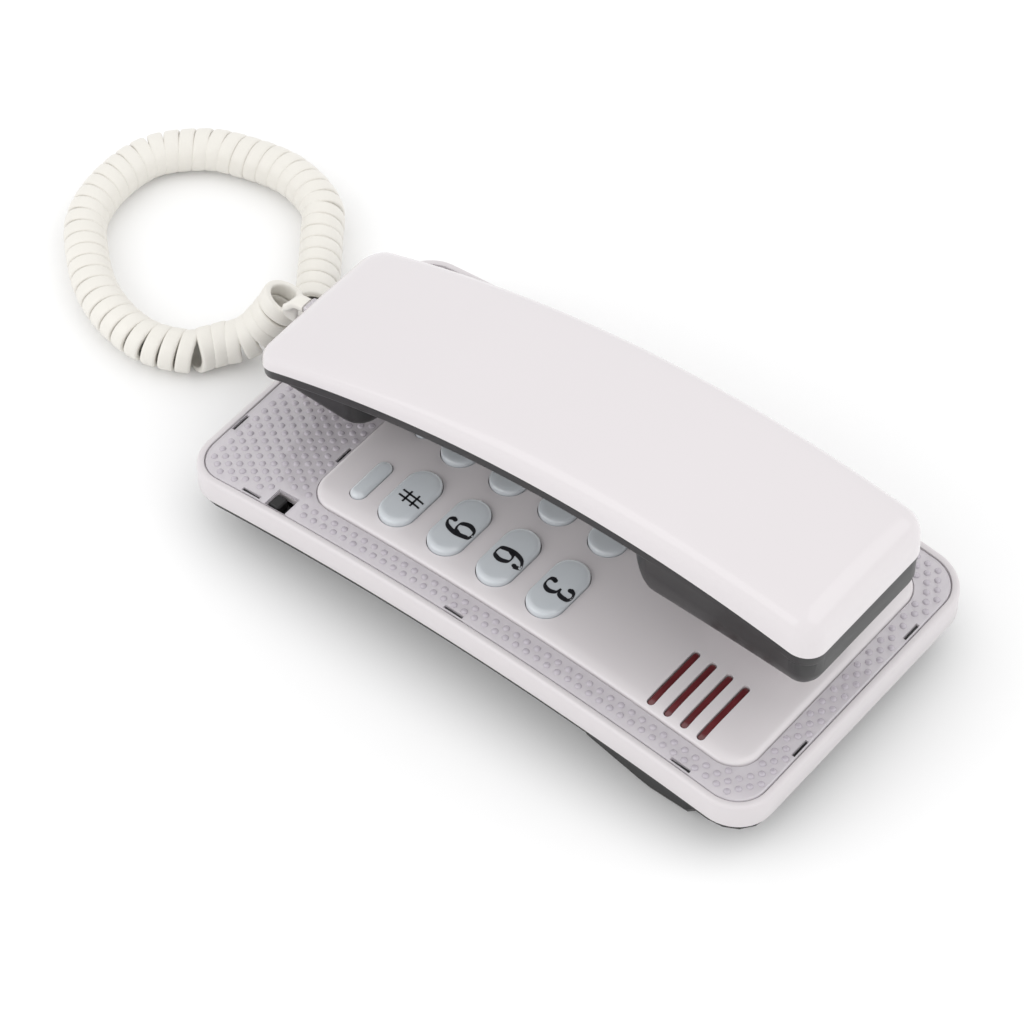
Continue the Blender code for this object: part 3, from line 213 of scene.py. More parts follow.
def linear(colour):
    """An sRGB hex colour as linear red, green, blue and alpha."""
    channels = [int(colour[i : i + 2], 16) / 255 for i in (0, 2, 4)]
    return (*[c / 12.92 if c <= 0.04045 else ((c + 0.055) / 1.055) ** 2.4 for c in channels], 1)


def per_metre(size_mm):
    """Scale of a pattern whose features are that many millimetres across."""
    return 1000 / size_mm


def add_node(tree, kind, values=None, links=None, **settings):
    made = tree.nodes.new(kind)
    for name, value in settings.items():
        setattr(made, name, value)
    for name, value in (values or {}).items():
        made.inputs[name].default_value = value
    for name, source in (links or {}).items():
        tree.links.new(source, made.inputs[name])
    return made


def plastic(name, colour, shade, roughness, cloud_mm=60, grain_mm=0.4, grain=0.02, **sockets):
    """Moulded plastic: its colour drifts to a shade, and a fine grain breaks up its gloss."""
    made = bpy.data.materials.new(name)
    made.use_nodes = True
    tree = made.node_tree
    shader = tree.nodes["Principled BSDF"]
    for socket, value in sockets.items():
        shader.inputs[socket.replace("_", " ")].default_value = value
    place = add_node(tree, "ShaderNodeTexCoord").outputs["Object"]
    cloud = add_node(
        tree,
        "ShaderNodeTexNoise",
        {"Scale": per_metre(cloud_mm), "Detail": 3.0},
        {"Vector": place},
    )
    mix = add_node(
        tree,
        "ShaderNodeMix",
        links={0: cloud.outputs["Fac"]},
        data_type="RGBA",
    )
    mix.inputs[6].default_value = linear(colour)
    mix.inputs[7].default_value = linear(shade)
    tree.links.new(mix.outputs[2], shader.inputs["Base Color"])
    fine = add_node(
        tree,
        "ShaderNodeTexNoise",
        {"Scale": per_metre(grain_mm), "Detail": 2.0},
        {"Vector": place},
    )
    gloss = add_node(
        tree,
        "ShaderNodeMapRange",
        {"To Min": roughness * 0.85, "To Max": roughness * 1.15},
        {"Value": cloud.outputs["Fac"]},
    )
    tree.links.new(gloss.outputs["Result"], shader.inputs["Roughness"])
    bump = add_node(
        tree,
        "ShaderNodeBump",
        {"Strength": grain, "Distance": 0.05 * MM},
        {"Height": fine.outputs["Fac"]},
    )
    tree.links.new(bump.outputs["Normal"], shader.inputs["Normal"])
    return made


# Injection-moulded ABS from a polished tool: bright, with a soft sheen
WHITE = plastic("satin_white_abs", "D6D1D3", "D2CDCF", 0.32, IOR=1.54)
# The same ABS from a mirror-polished tool: the room shows in it, a little blurred
GLOSS = plastic("polished_white_abs", "DAD5D7", "D7D2D4", 0.22, grain=0.01, IOR=1.54, Coat_Weight=0.3)
# Clear crystal styrene: see-through, with a bright surface
CLEAR = plastic(
    "clear_styrene", "E9E4E8", "E4DFE5", 0.1, cloud_mm=6, grain=0.05, IOR=1.59, Alpha=0.6, Coat_Weight=0.8
)
# The raised dots of the same styrene, which bend the light and so look a little darker
LENS = plastic("dotted_styrene", "CFC8D0", "C3BCC6", 0.06, cloud_mm=4, IOR=1.59, Alpha=0.75, Coat_Weight=1.0)
# Clear-topped key caps over a pale blue-grey backing
KEYCAP = plastic("blue_grey_keycap", "CDD1D5", "C5CACF", 0.14, cloud_mm=9, IOR=1.5, Coat_Weight=0.6)
# Deep red acrylic, nearly black where it is thick
RED = plastic("red_acrylic", "7A3438", "4E1C20", 0.1, cloud_mm=5, IOR=1.49, Coat_Weight=0.8)
# ABS from a spark-eroded tool: an even, fine grain and a dull sheen
BLACK = plastic("grained_black_abs", "181718", "141314", 0.42, grain_mm=0.6, grain=0.12, IOR=1.54)
# The same ABS with a finer grain: a little brighter where it catches the light
GREY = plastic("grained_grey_abs", "181718", "141314", 0.36, grain_mm=0.6, grain=0.08, IOR=1.54)
# Soft moulded rubber: dull and slightly dusty
RUBBER = plastic("moulded_rubber", "8A8A88", "7C7C7A", 0.8, grain_mm=1, grain=0.2)
# Extruded soft PVC: satin, warmer than the ABS
IVORY = plastic("extruded_pvc", "E6E3DC", "E1DED7", 0.38, cloud_mm=12, grain=0.05, IOR=1.53)
# Screen-printed ink: flat black with a trace of gloss
INK = plastic("printed_ink", "222226", "1C1C20", 0.3, cloud_mm=5)
# Zinc-plated steel: grey, fine-brushed
STEEL = plastic("zinc_plated_steel", "B9B9B8", "A8A8A7", 0.3, grain_mm=0.3, grain=0.1, Metallic=1.0)
# Stamped brass: warm and a little dull
BRASS = plastic("stamped_brass", "C9A860", "B8964E", 0.3, grain_mm=0.5, grain=0.1, Metallic=1.0)
# Solder mask over glass fibre
BOARD = plastic("solder_mask", "2F6B45", "28603C", 0.5, grain_mm=0.8, grain=0.15)
# Matt paint on a smooth table
TABLE = plastic("pale_table", "FAFAFA", "F8F8F8", 0.7, cloud_mm=400, grain=0.01)
TABLE_HALF = 2.5

FINISHES = {
    "white_abs": WHITE,
    "gloss_abs": GLOSS,
    "clear_plastic": CLEAR,
    "keycap": KEYCAP,
    "red_lens": RED,
    "black_abs": BLACK,
    "grey_abs": GREY,
    "rubber": RUBBER,
    "circuit_board": BOARD,
    "brass": BRASS,
    "steel": STEEL,
    "cord": IVORY,
}


def finish_nodes():
    for entry in frame["record"]["subparts"]:
        mesh = frame["nodes"][entry["node"]].data
        mesh.materials.clear()
        mesh.materials.append(FINISHES[entry["material_slot"]])


# Heights


def face(offset):
    """Height of the arched face, moved up by an offset."""
    return lambda x, y: RIM_Z - y * y / (2 * ARCH_RADIUS) + offset


def edge(offset=0.0):
    """Height of the white handset shell's lower edge."""
    return lambda x, y: PEAK_Z - (y - PEAK_Y) ** 2 / (2 * HANDSET_RADIUS) + offset


def crest(offset=0.0):
    """Height of the handset's top."""
    low = edge()
    half = HANDSET_SIZE.x / 2
    return lambda x, y: (
        low(x, y) + SHELL_RISE + SHELL_TAPER * y + SHELL_CROWN * (1 - (x / half) ** 2) + offset
    )


def between(low, high, share):
    return lambda x, y: low(x, y) + share * (high(x, y) - low(x, y))


def level(z):
    return lambda x, y: z


# Solids


def plan_rows(half_x, half_y, corner, columns, straights, arcs):
    """Rows of points that fill a rounded rectangle, from its low-Y end to its high-Y end."""
    flat = half_y - corner
    turns = [math.pi / 2 * i / arcs for i in range(arcs + 1)]
    end = [(flat + corner * math.sin(a), half_x - corner + corner * math.cos(a)) for a in turns]
    middle = [(flat * (2 * i / straights - 1), half_x) for i in range(1, straights)]
    low = [(-y, w) for y, w in reversed(end)]
    if straights == 0:
        low.pop()
    return [
        [(w * (2 * c / columns - 1), y) for c in range(columns + 1)]
        for y, w in low + middle + end
    ]


def add_loft(bm, centre, size, corner, levels, columns=8, straights=48, arcs=12):
    """Add a solid whose outline is a rounded rectangle, inset and raised level by level."""
    half_x, half_y = size[0] / 2, size[1] / 2
    loops = []
    caps = []
    for inset, height in levels:
        rows = plan_rows(
            half_x - inset, half_y - inset, corner - inset, columns, straights, arcs
        )
        is_cap = not loops or len(loops) == len(levels) - 1
        made = {}

        def vertex(r, c):
            if (r, c) not in made:
                x, y = rows[r][c]
                x, y = x + centre[0], y + centre[1]
                made[r, c] = bm.verts.new((x, y, height(x, y)))
            return made[r, c]

        last = len(rows) - 1
        ring = [(0, c) for c in range(columns + 1)]
        ring += [(r, columns) for r in range(1, last)]
        ring += [(last, c) for c in range(columns, -1, -1)]
        ring += [(r, 0) for r in range(last - 1, 0, -1)]
        loops.append([vertex(r, c) for r, c in ring])
        if is_cap:
            caps.append([[vertex(r, c) for c in range(columns + 1)] for r in range(last + 1)])
    for low, high in zip(loops[:-1], loops[1:]):
        for i in range(len(low)):
            j = (i + 1) % len(low)
            bm.faces.new((low[i], low[j], high[j], high[i]))
    bottom, top = caps
    for r in range(len(bottom) - 1):
        for c in range(columns):
            bm.faces.new((bottom[r][c], bottom[r + 1][c], bottom[r + 1][c + 1], bottom[r][c + 1]))
            bm.faces.new((top[r][c], top[r][c + 1], top[r + 1][c + 1], top[r + 1][c]))


def add_pill(bm, x, y, length, width, levels, arcs=12, columns=6):
    add_loft(bm, (x, y), (length, width), width / 2, levels, columns, 0, arcs)


def add_box(bm, x, y, z):
    size = Vector((x[1] - x[0], y[1] - y[0], z[1] - z[0]))
    middle = Vector((x[0] + x[1], y[0] + y[1], z[0] + z[1])) / 2
    bmesh.ops.create_cube(bm, size=1, matrix=Matrix.Translation(middle) @ Matrix.Diagonal((*size, 1)))


def add_cylinder(bm, radius, x, y, z, segments=48):
    bmesh.ops.create_cone(
        bm,
        cap_ends=True,
        segments=segments,
        radius1=radius,
        radius2=radius,
        depth=z[1] - z[0],
        matrix=Matrix.Translation((x, y, (z[0] + z[1]) / 2)),
    )


def piece(name, bm, finish=None):
    mesh = bpy.data.meshes.new(name)
    bm.to_mesh(mesh)
    bm.free()
    made = bpy.data.objects.new(name, mesh)
    bpy.context.scene.collection.objects.link(made)
    if finish:
        mesh.materials.append(finish)
    return made


def carve(target, tools, operation="DIFFERENCE"):
    """Cut or join a piece with others, which are used up."""
    for other in tools:
        step = target.modifiers.new(other.name, "BOOLEAN")
        step.operation = operation
        step.object = other
        bpy.context.view_layer.update()
        done = bpy.data.meshes.new_from_object(target.evaluated_get(bpy.context.evaluated_depsgraph_get()))
        target.modifiers.clear()
        target.data = done
        bpy.data.objects.remove(other)


def smooth(made, degrees=32):
    made.data.shade_smooth()
    made.data.set_sharp_from_angle(angle=math.radians(degrees))


def show(made, body, slot, *nodes):
    """Put a finished piece on its body, in place of its CAD nodes."""
    smooth(made)
    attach(made, body)
    if nodes:
        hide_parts(*nodes)
    return made


def quarter_round(inset, rise, height, steps=6):
    """Levels of an edge that rolls from upright to flat, up to a height."""
    made = []
    for i in range(steps + 1):
        a = math.pi / 2 * i / steps
        made.append((inset * (1 - math.cos(a)), height(-rise * (1 - math.sin(a)))))
    return made


# Base


def base_plan(inset):
    size = (2 * (HALF_WIDTH - inset), 2 * (HALF_LENGTH - inset))
    return (0, 0), size, BASE_CORNER - inset


def panel_plan(grow=0.0):
    size = (PANEL_SIZE.x + 2 * grow, PANEL_SIZE.y + 2 * grow)
    return (PANEL_MIDDLE.x, PANEL_MIDDLE.y), size, PANEL_CORNER + grow


def middle_of(node):
    low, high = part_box(node)
    return (low + high) / 2


NUMBER_KEYS = [n for n in frame["nodes"] if n in ("key_star", "key_hash") or n[4:].isdigit()]
PILL_KEYS = ["key_flash", "key_mute", "key_redial"]
LAMP = middle_of("lamp_lens")
HOOK = middle_of("hook_plunger")
SWITCH = middle_of("ringer_switch")


def slot_places():
    for i in range(SLOTS):
        yield LAMP.x, LAMP.y + (i - (SLOTS - 1) / 2) * SLOT_PITCH


def add_window(bm):
    x = (SWITCH.x - WINDOW[0] / 2, SWITCH.x + WINDOW[0] / 2)
    add_box(bm, x, (SWITCH.y - WINDOW[1] / 2, SWITCH.y + WINDOW[1] / 2), THROUGH)


def plug_windows(bm):
    """Windows of both sockets in the lower end's wall."""
    low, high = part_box("cord_plug_base")
    y = (-HALF_LENGTH - 1 * MM, -HALF_LENGTH + BAND_WALL + 1 * MM)
    middle = (low.x + high.x) / 2
    for x, half in ((middle, PLUG_HALF), (-middle, LINE_HALF)):
        add_box(bm, (x - half, x + half), y, (low.z - PLUG_SLACK, high.z + PLUG_SLACK))


def front_bezel():
    """White frame: side band with a rolled rim, round a recessed deck."""
    bm = bmesh.new()
    levels = [(0.35 * MM, face(-BAND)), (0.1 * MM, face(-BAND + 0.12 * MM)), (0, face(-BAND + 0.4 * MM))]
    levels += quarter_round(0.9 * MM, 0.9 * MM, face)
    add_loft(bm, *base_plan(0), levels)
    bezel = piece("front_bezel", bm, WHITE)
    bm = bmesh.new()
    add_loft(bm, *base_plan(BAND_WALL), [(0, face(-20 * MM)), (0, face(-DECK_DROP - DECK))])
    hollow = piece("bezel_hollow", bm)
    bm = bmesh.new()
    lip = [(0, face(-DECK_DROP)), (0, face(-0.3 * MM)), (-0.1 * MM, face(-0.1 * MM))]
    lip += [(-0.3 * MM, face(0.001 * MM)), (-0.3 * MM, face(4 * MM))]
    add_loft(bm, *base_plan(RIM_WIDTH), lip)
    recess = piece("bezel_recess", bm)
    bm = bmesh.new()
    low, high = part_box("key_star")[0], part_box("key_3")[1]
    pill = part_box("key_flash")[0]
    room = 0.8 * MM
    add_box(bm, (low.x - room, high.x + room), (pill.y - 1.7 * MM, high.y + 1.2 * MM), THROUGH)
    low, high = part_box("lamp_lens")
    add_box(bm, (low.x - room, high.x + room), (low.y - 0.9 * MM, high.y + 0.9 * MM), THROUGH)
    add_window(bm)
    add_cylinder(bm, HOOK_HOLE, HOOK.x, HOOK.y, THROUGH)
    plug_windows(bm)
    carve(bezel, [hollow, recess, piece("bezel_openings", bm)])
    show(bezel, "base", "white_abs", "front_frame")


def clip_places():
    for sign in (-1, 1):
        for y in (-69 * MM, -2 * MM, 69.5 * MM):
            yield sign * (HALF_WIDTH - CLIP_INSET), y, CLIP_WIDTH, CLIP_LENGTH
    for x in (-28 * MM, 28 * MM):
        yield x, CLIP_INSET - HALF_LENGTH, CLIP_LENGTH, CLIP_WIDTH
    for x in (-24.5 * MM, 22 * MM):
        yield x, HALF_LENGTH - CLIP_INSET, CLIP_LENGTH, CLIP_WIDTH
        yield x, PANEL_MIDDLE.y - PANEL_SIZE.y / 2 - 1.1 * MM, CLIP_LENGTH, CLIP_WIDTH


def outside_by(x, y, middle, half_x, half_y, corner):
    """How far a place lies outside a rounded rectangle, negative inside it."""
    dx = abs(x - middle[0]) - (half_x - corner)
    dy = abs(y - middle[1]) - (half_y - corner)
    return math.hypot(max(dx, 0), max(dy, 0)) + min(max(dx, dy), 0) - corner


def lattice(pitch_x, pitch_y):
    """Places in staggered rows over the whole face, its rows along the larger pitch."""
    columns, rows = int(HALF_WIDTH / pitch_x) + 1, int(HALF_LENGTH / pitch_y) + 1
    for r in range(-rows, rows + 1):
        for c in range(-columns, columns + 1):
            if pitch_x > pitch_y:
                yield (c + r % 2 / 2) * pitch_x, r * pitch_y
            else:
                yield c * pitch_x, (r + c % 2 / 2) * pitch_y


def dot_places():
    """The clear panel's dots: rows across its lower end, and rows along its other edges."""
    shut = [(x, y, w / 2 + CLIP_MARGIN, h / 2 + CLIP_MARGIN) for x, y, w, h in clip_places()]
    shut.append((SWITCH.x, SWITCH.y, WINDOW[0] / 2 + WINDOW_MARGIN, WINDOW[1] / 2 + WINDOW_MARGIN))
    cradle = middle_of("mouth_cradle")
    shut.append((cradle.x, cradle.y, 7.6 * MM, 13.1 * MM))
    middle, size, corner = panel_plan(GAP)
    lower = middle[1] - size[1] / 2 + 2 * MM
    places = [(x, y) for x, y in lattice(DOT_PITCH, DOT_ROWS) if y < lower]
    places += [(x, y) for x, y in lattice(DOT_ROWS, DOT_PITCH) if y > lower]
    for x, y in places:
        if outside_by(x, y, (0, 0), HALF_WIDTH, HALF_LENGTH, BASE_CORNER) > -RIM_MARGIN:
            continue
        if outside_by(x, y, middle, size[0] / 2, size[1] / 2, corner) < PANEL_MARGIN:
            continue
        if not any(abs(x - a) < w and abs(y - b) < h for a, b, w, h in shut):
            yield x, y


def clear_cover():
    """Clear panel round the keypad, with a lattice of raised dots."""
    bm = bmesh.new()
    levels = [(0, face(-DECK_DROP + GAP)), *quarter_round(0.5 * MM, 0.4 * MM, lambda d: face(d - 0.1 * MM))]
    add_loft(bm, *base_plan(RIM_WIDTH + GAP), levels)
    cover = piece("clear_cover", bm, CLEAR)
    bm = bmesh.new()
    add_loft(bm, *panel_plan(GAP), [(0, face(-5 * MM)), (0, face(5 * MM))])
    add_window(bm)
    for x, y, size_x, size_y in clip_places():
        add_box(bm, (x - size_x / 2, x + size_x / 2), (y - size_y / 2, y + size_y / 2), THROUGH)
    carve(cover, [piece("cover_openings", bm)])
    show(cover, "base", "clear_plastic", "clear_panel")

    bm = bmesh.new()
    for x, y in dot_places():
        z = face(-0.1 * MM)(x, y)
        loops = []
        for share, rise in DOT_RINGS:
            loop = []
            for i in range(DOT_SPOKES):
                a = 2 * math.pi * i / DOT_SPOKES
                dx, dy = DOT_RADIUS * share * math.cos(a), DOT_RADIUS * share * math.sin(a)
                loop.append(bm.verts.new((x + dx, y + dy, z + DOT_RISE * rise)))
            loops.append(loop)
        for low, high in zip(loops, loops[1:]):
            for i in range(DOT_SPOKES):
                j = (i + 1) % DOT_SPOKES
                bm.faces.new((low[i], low[j], high[j], high[i]))
        top = bm.verts.new((x, y, z + DOT_RISE))
        for i in range(DOT_SPOKES):
            bm.faces.new((loops[-1][i], loops[-1][(i + 1) % DOT_SPOKES], top))
        bm.faces.new(list(reversed(loops[0])))
    dots = piece("clear_dots", bm, LENS)
    show(dots, "base", "clear_plastic")

    # Painted shade: dark boxes laid on the deck under the clip slots, standing in for the shaded inside seen
    # through them
    bm = bmesh.new()
    for x, y, size_x, size_y in clip_places():
        half_x, half_y = size_x / 2 - 0.12 * MM, size_y / 2 - 0.12 * MM
        low = face(-DECK_DROP)(x, y) + 0.02 * MM
        add_box(bm, (x - half_x, x + half_x), (y - half_y, y + half_y), (low, low + 0.8 * MM))
    show(piece("clip_slot_shade", bm, GREY), "base", "grey_abs")


def keypad_cover():
    """Raised white panel whose edges roll down, with key holes and lamp slots."""
    roll = [(0, 0.1), (0.06, 0.35), (0.25, 0.62), (0.6, 0.85), (1.2, 1.04), (2.2, 1.22), (3.6, 1.38)]
    roll += [(5.4, 1.51), (7.6, PANEL_RISE / MM)]
    bm = bmesh.new()
    levels = [(0, face(-DECK_DROP + GAP))] + [(i * MM, face(h * MM)) for i, h in roll]
    add_loft(bm, *panel_plan(), levels, columns=24)
    panel = piece("keypad_cover", bm, GLOSS)
    bm = bmesh.new()
    through = [(0, face(-4 * MM)), (0, face(4 * MM))]
    for node in NUMBER_KEYS:
        at = middle_of(node)
        add_pill(bm, at.x, at.y, KEY_LENGTH + 2 * FINGER, KEY_WIDTH + 2 * FINGER, through)
    for node in PILL_KEYS:
        at = middle_of(node)
        add_pill(bm, at.x, at.y, PILL_LENGTH + 2 * FINGER, PILL_WIDTH + 2 * FINGER, through)
    for x, y in slot_places():
        add_pill(bm, x, y, SLOT_LENGTH, SLOT_WIDTH, through, arcs=6, columns=12)
    add_cylinder(bm, HOOK_HOLE, HOOK.x, HOOK.y, THROUGH)
    carve(panel, [piece("cover_holes", bm)])
    show(panel, "base", "gloss_abs", "keypad_panel")


def roll_down(inset, reach, drop):
    """Height of a dome below its crown, at a distance in from its outline."""
    share = max(0, 1 - inset / reach)
    return -drop * (1 - math.sqrt(max(0, 1 - share**2.6)))


def key_cap(node, length, width, rise, reach, drop):
    """A key cap on its flange, its edge rolled down from a low dome."""
    at = middle_of(node)
    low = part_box(node)[0].z
    stop = -DECK_DROP
    top = PANEL_RISE + rise
    stem = PILL_STEM if node in PILL_KEYS else KEY_STEM
    levels = [
        (stem, level(low)),
        (stem, face(stop - FLANGE)),
        (-FLANGE, face(stop - FLANGE)),
        (-FLANGE, face(stop)),
        (0, face(stop)),
    ]
    for i in range(DOME_STEPS + 1):
        inset = reach * (i / DOME_STEPS) ** 1.7
        levels.append((inset, face(top + roll_down(inset, reach, drop))))
    bm = bmesh.new()
    add_pill(bm, at.x, at.y, length, width, levels)
    show(piece(node + "_cap", bm, KEYCAP), node, "keycap", node)


# Figures: strokes of a broad pen, thick where they run upright and thin where they run level

THICK = 0.17
THIN = 0.05
PLAIN = 0.07  # width of the strokes of '*' and '#'
FIGURE_HEIGHT = 8 * MM
FIGURE_SHIFT = (0.8 * MM, 0.9 * MM)  # from the middle of the key
INK_TOP = 0.07 * MM
INK_DEPTH = -0.15 * MM
STROKE_STEPS = 14
BALL_STEPS = 16
FIGURES = {
    "key_0": (
        [
            [(0, 1), (-0.2, 0.9), (-0.27, 0.5), (-0.2, 0.1), (0, 0)]
            + [(0.2, 0.1), (0.27, 0.5), (0.2, 0.9), (0, 1)],
        ],
        [],
    ),
    "key_1": ([[(0, 0), (0, 1)], [(0, 0.99), (-0.1, 0.88), (-0.2, 0.85)], [(-0.2, 0), (0.2, 0)]], []),
    "key_2": (
        [
            [(-0.2, 0.75), (-0.17, 0.93), (0, 1), (0.18, 0.93)]
            + [(0.23, 0.75), (0.12, 0.5), (-0.12, 0.25), (-0.25, 0.05)],
            [(-0.25, 0.05), (-0.1, 0.1), (0.08, 0.04), (0.2, 0.03), (0.25, 0.2)],
        ],
        [(-0.17, 0.77, 0.08)],
    ),
    "key_3": (
        [
            [(-0.2, 0.8), (-0.15, 0.95), (0, 1), (0.16, 0.94), (0.2, 0.77), (0.13, 0.6), (-0.05, 0.54)],
            [(-0.05, 0.54), (0.15, 0.48), (0.24, 0.27), (0.16, 0.07), (0, 0), (-0.17, 0.04), (-0.23, 0.2)],
        ],
        [(-0.17, 0.81, 0.08), (-0.19, 0.2, 0.085)],
    ),
    "key_4": (
        [
            [(0.1, 0), (0.1, 1)],
            [(0.08, 0.98), (-0.1, 0.6), (-0.3, 0.28)],
            [(-0.3, 0.28), (0.28, 0.28)],
            [(-0.06, 0), (0.26, 0)],
        ],
        [],
    ),
    "key_5": (
        [
            [(-0.2, 0.98), (-0.05, 0.94), (0.1, 0.94), (0.22, 1)],
            [(-0.2, 0.98), (-0.2, 0.75), (-0.2, 0.52)],
            [(-0.2, 0.52), (-0.05, 0.62), (0.14, 0.58), (0.24, 0.32)]
            + [(0.16, 0.08), (0, 0), (-0.17, 0.05), (-0.22, 0.2)],
        ],
        [(-0.18, 0.2, 0.085)],
    ),
    "key_6": (
        [
            [(0.2, 0.82), (0.14, 0.95), (0.03, 1), (-0.15, 0.88)]
            + [(-0.25, 0.6), (-0.25, 0.32), (-0.17, 0.06), (0, 0)],
            [(0, 0), (0.16, 0.06), (0.24, 0.3), (0.16, 0.54), (0.02, 0.6), (-0.14, 0.54), (-0.23, 0.38)],
        ],
        [(0.16, 0.82, 0.08)],
    ),
    "key_7": (
        [
            [(-0.24, 0.78), (-0.2, 0.94), (-0.02, 0.9), (0.12, 0.9), (0.25, 1)],
            [(0.25, 1), (0.08, 0.6), (-0.04, 0.3), (-0.06, 0)],
        ],
        [],
    ),
    "key_8": (
        [
            [(0, 1), (-0.17, 0.93), (-0.2, 0.77), (-0.1, 0.6)]
            + [(0.1, 0.48), (0.24, 0.27), (0.16, 0.06), (0, 0)],
            [(0, 0), (-0.17, 0.06), (-0.24, 0.25), (-0.12, 0.46)]
            + [(0.1, 0.6), (0.19, 0.77), (0.15, 0.93), (0, 1)],
        ],
        [],
    ),
    "key_9": (
        [
            [(-0.2, 0.18), (-0.14, 0.05), (-0.03, 0), (0.15, 0.12)]
            + [(0.25, 0.4), (0.25, 0.68), (0.17, 0.94), (0, 1)],
            [(0, 1), (-0.16, 0.94), (-0.24, 0.7), (-0.16, 0.46), (-0.02, 0.4), (0.14, 0.46), (0.23, 0.62)],
        ],
        [(-0.16, 0.18, 0.08)],
    ),
    "key_star": ([[(0, 0.3), (0, 0.85)], [(-0.24, 0.44), (0.24, 0.71)], [(-0.24, 0.71), (0.24, 0.44)]], []),
    "key_hash": (
        [
            [(-0.16, 0.05), (-0.06, 0.95)],
            [(0.06, 0.05), (0.16, 0.95)],
            [(-0.27, 0.34), (0.25, 0.34)],
            [(-0.25, 0.66), (0.27, 0.66)],
        ],
        [],
    ),
}
EVEN = ("key_star", "key_hash")


def spline(points, steps):
    """Points on a smooth curve through a list of points."""
    knots = [Vector(p) for p in points]
    knots = [2 * knots[0] - knots[1]] + knots + [2 * knots[-1] - knots[-2]]
    line = []
    for a, b, c, d in zip(knots, knots[1:], knots[2:], knots[3:]):
        for i in range(steps):
            t = i / steps
            low = 2 * b + (c - a) * t
            line.append(0.5 * (low + (2 * a - 5 * b + 4 * c - d) * t**2 + (3 * b - a - 3 * c + d) * t**3))
    return line + [knots[-2]]


def directions(line):
    """The way that a line of points heads at each of them."""
    last = len(line) - 1
    return [(line[min(i + 1, last)] - line[max(i - 1, 0)]).normalized() for i in range(last + 1)]


def figure(node):
    """A printed figure on a key's dome, as a skin of ink with a little thickness."""
    strokes, balls = FIGURES[node]
    at = middle_of(node)
    origin = Vector((at.x + FIGURE_SHIFT[0], at.y - FIGURE_HEIGHT / 2 + FIGURE_SHIFT[1]))

    def place(bm, point, sunk):
        x = origin.x + point.x * FIGURE_HEIGHT
        y = origin.y + point.y * FIGURE_HEIGHT
        along = max(0, abs(x - at.x) - (KEY_LENGTH - KEY_WIDTH) / 2)
        inset = KEY_WIDTH / 2 - math.hypot(along, y - at.y)
        top = PANEL_RISE + KEY_RISE + roll_down(inset, KEY_DOME, KEY_ROLL)
        return bm.verts.new((x, y, face(top + (INK_DEPTH if sunk else INK_TOP))(x, y)))

    bm = bmesh.new()
    for stroke in strokes:
        line = spline([(*p, 0) for p in stroke], STROKE_STEPS)
        rails = []
        for point, ahead in zip(line, directions(line)):
            width = THIN + (THICK - THIN) * abs(ahead.y) ** 1.6
            if node in EVEN:
                width = PLAIN
            side = Vector((-ahead.y, ahead.x, 0)) * width / 2
            corners = (point + side, point - side)
            rails.append([place(bm, p, sunk) for sunk in (False, True) for p in corners])
        for (a, b, c, d), (e, f, g, h) in zip(rails, rails[1:]):
            bm.faces.new((a, b, f, e))
            bm.faces.new((c, g, h, d))
            bm.faces.new((a, e, g, c))
            bm.faces.new((b, d, h, f))
        for a, b, c, d in (rails[0], rails[-1]):
            bm.faces.new((a, c, d, b))
    for x, y, radius in balls:
        turn = [2 * math.pi * i / BALL_STEPS for i in range(BALL_STEPS)]
        ring = [Vector((x + radius * math.cos(t), y + radius * math.sin(t), 0)) for t in turn]
        top = [place(bm, p, False) for p in ring]
        low = [place(bm, p, True) for p in ring]
        bm.faces.new(top)
        bm.faces.new(list(reversed(low)))
        for i in range(BALL_STEPS):
            j = (i + 1) % BALL_STEPS
            bm.faces.new((low[i], low[j], top[j], top[i]))
    bmesh.ops.recalc_face_normals(bm, faces=bm.faces)
    made = piece(node + "_figure", bm, INK)
    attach(made, node)


def lamp_window():
    """Red lens with a soft-edged rib in each slot."""
    low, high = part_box("lamp_lens")
    bm = bmesh.new()
    size = (high.x - low.x, high.y - low.y)
    under = -DECK_DROP
    levels = [(0, face(under - LENS_THICK)), (0, face(under))]
    add_loft(bm, (LAMP.x, LAMP.y), size, 2 * MM, levels, columns=8, straights=8, arcs=6)
    lens = piece("lamp_window", bm, RED)
    bm = bmesh.new()

    def rib(offset):
        def height(x, y):
            inset = PANEL_SIZE.x / 2 - abs(x)
            return face(offset - RIB_DIP * max(0, 1 - inset / RIB_RUN) ** 2)(x, y)

        return height

    levels = [(0, face(under - 0.5 * MM))]
    levels += quarter_round(RIB_ROUND, RIB_ROUND, lambda d: rib(RIB_RISE + d))
    for x, y in slot_places():
        add_pill(bm, x, y, SLOT_LENGTH - GAP, SLOT_WIDTH - GAP, levels, arcs=6, columns=14)
    carve(lens, [piece("lamp_ribs", bm)], "UNION")
    show(lens, "base", "red_lens", "lamp_lens")


# Handset


def handset_plan(inset):
    size = (HANDSET_SIZE.x - 2 * inset, HANDSET_SIZE.y - 2 * inset)
    return (HANDSET_MIDDLE.x, HANDSET_MIDDLE.y), size, HANDSET_CORNER - inset


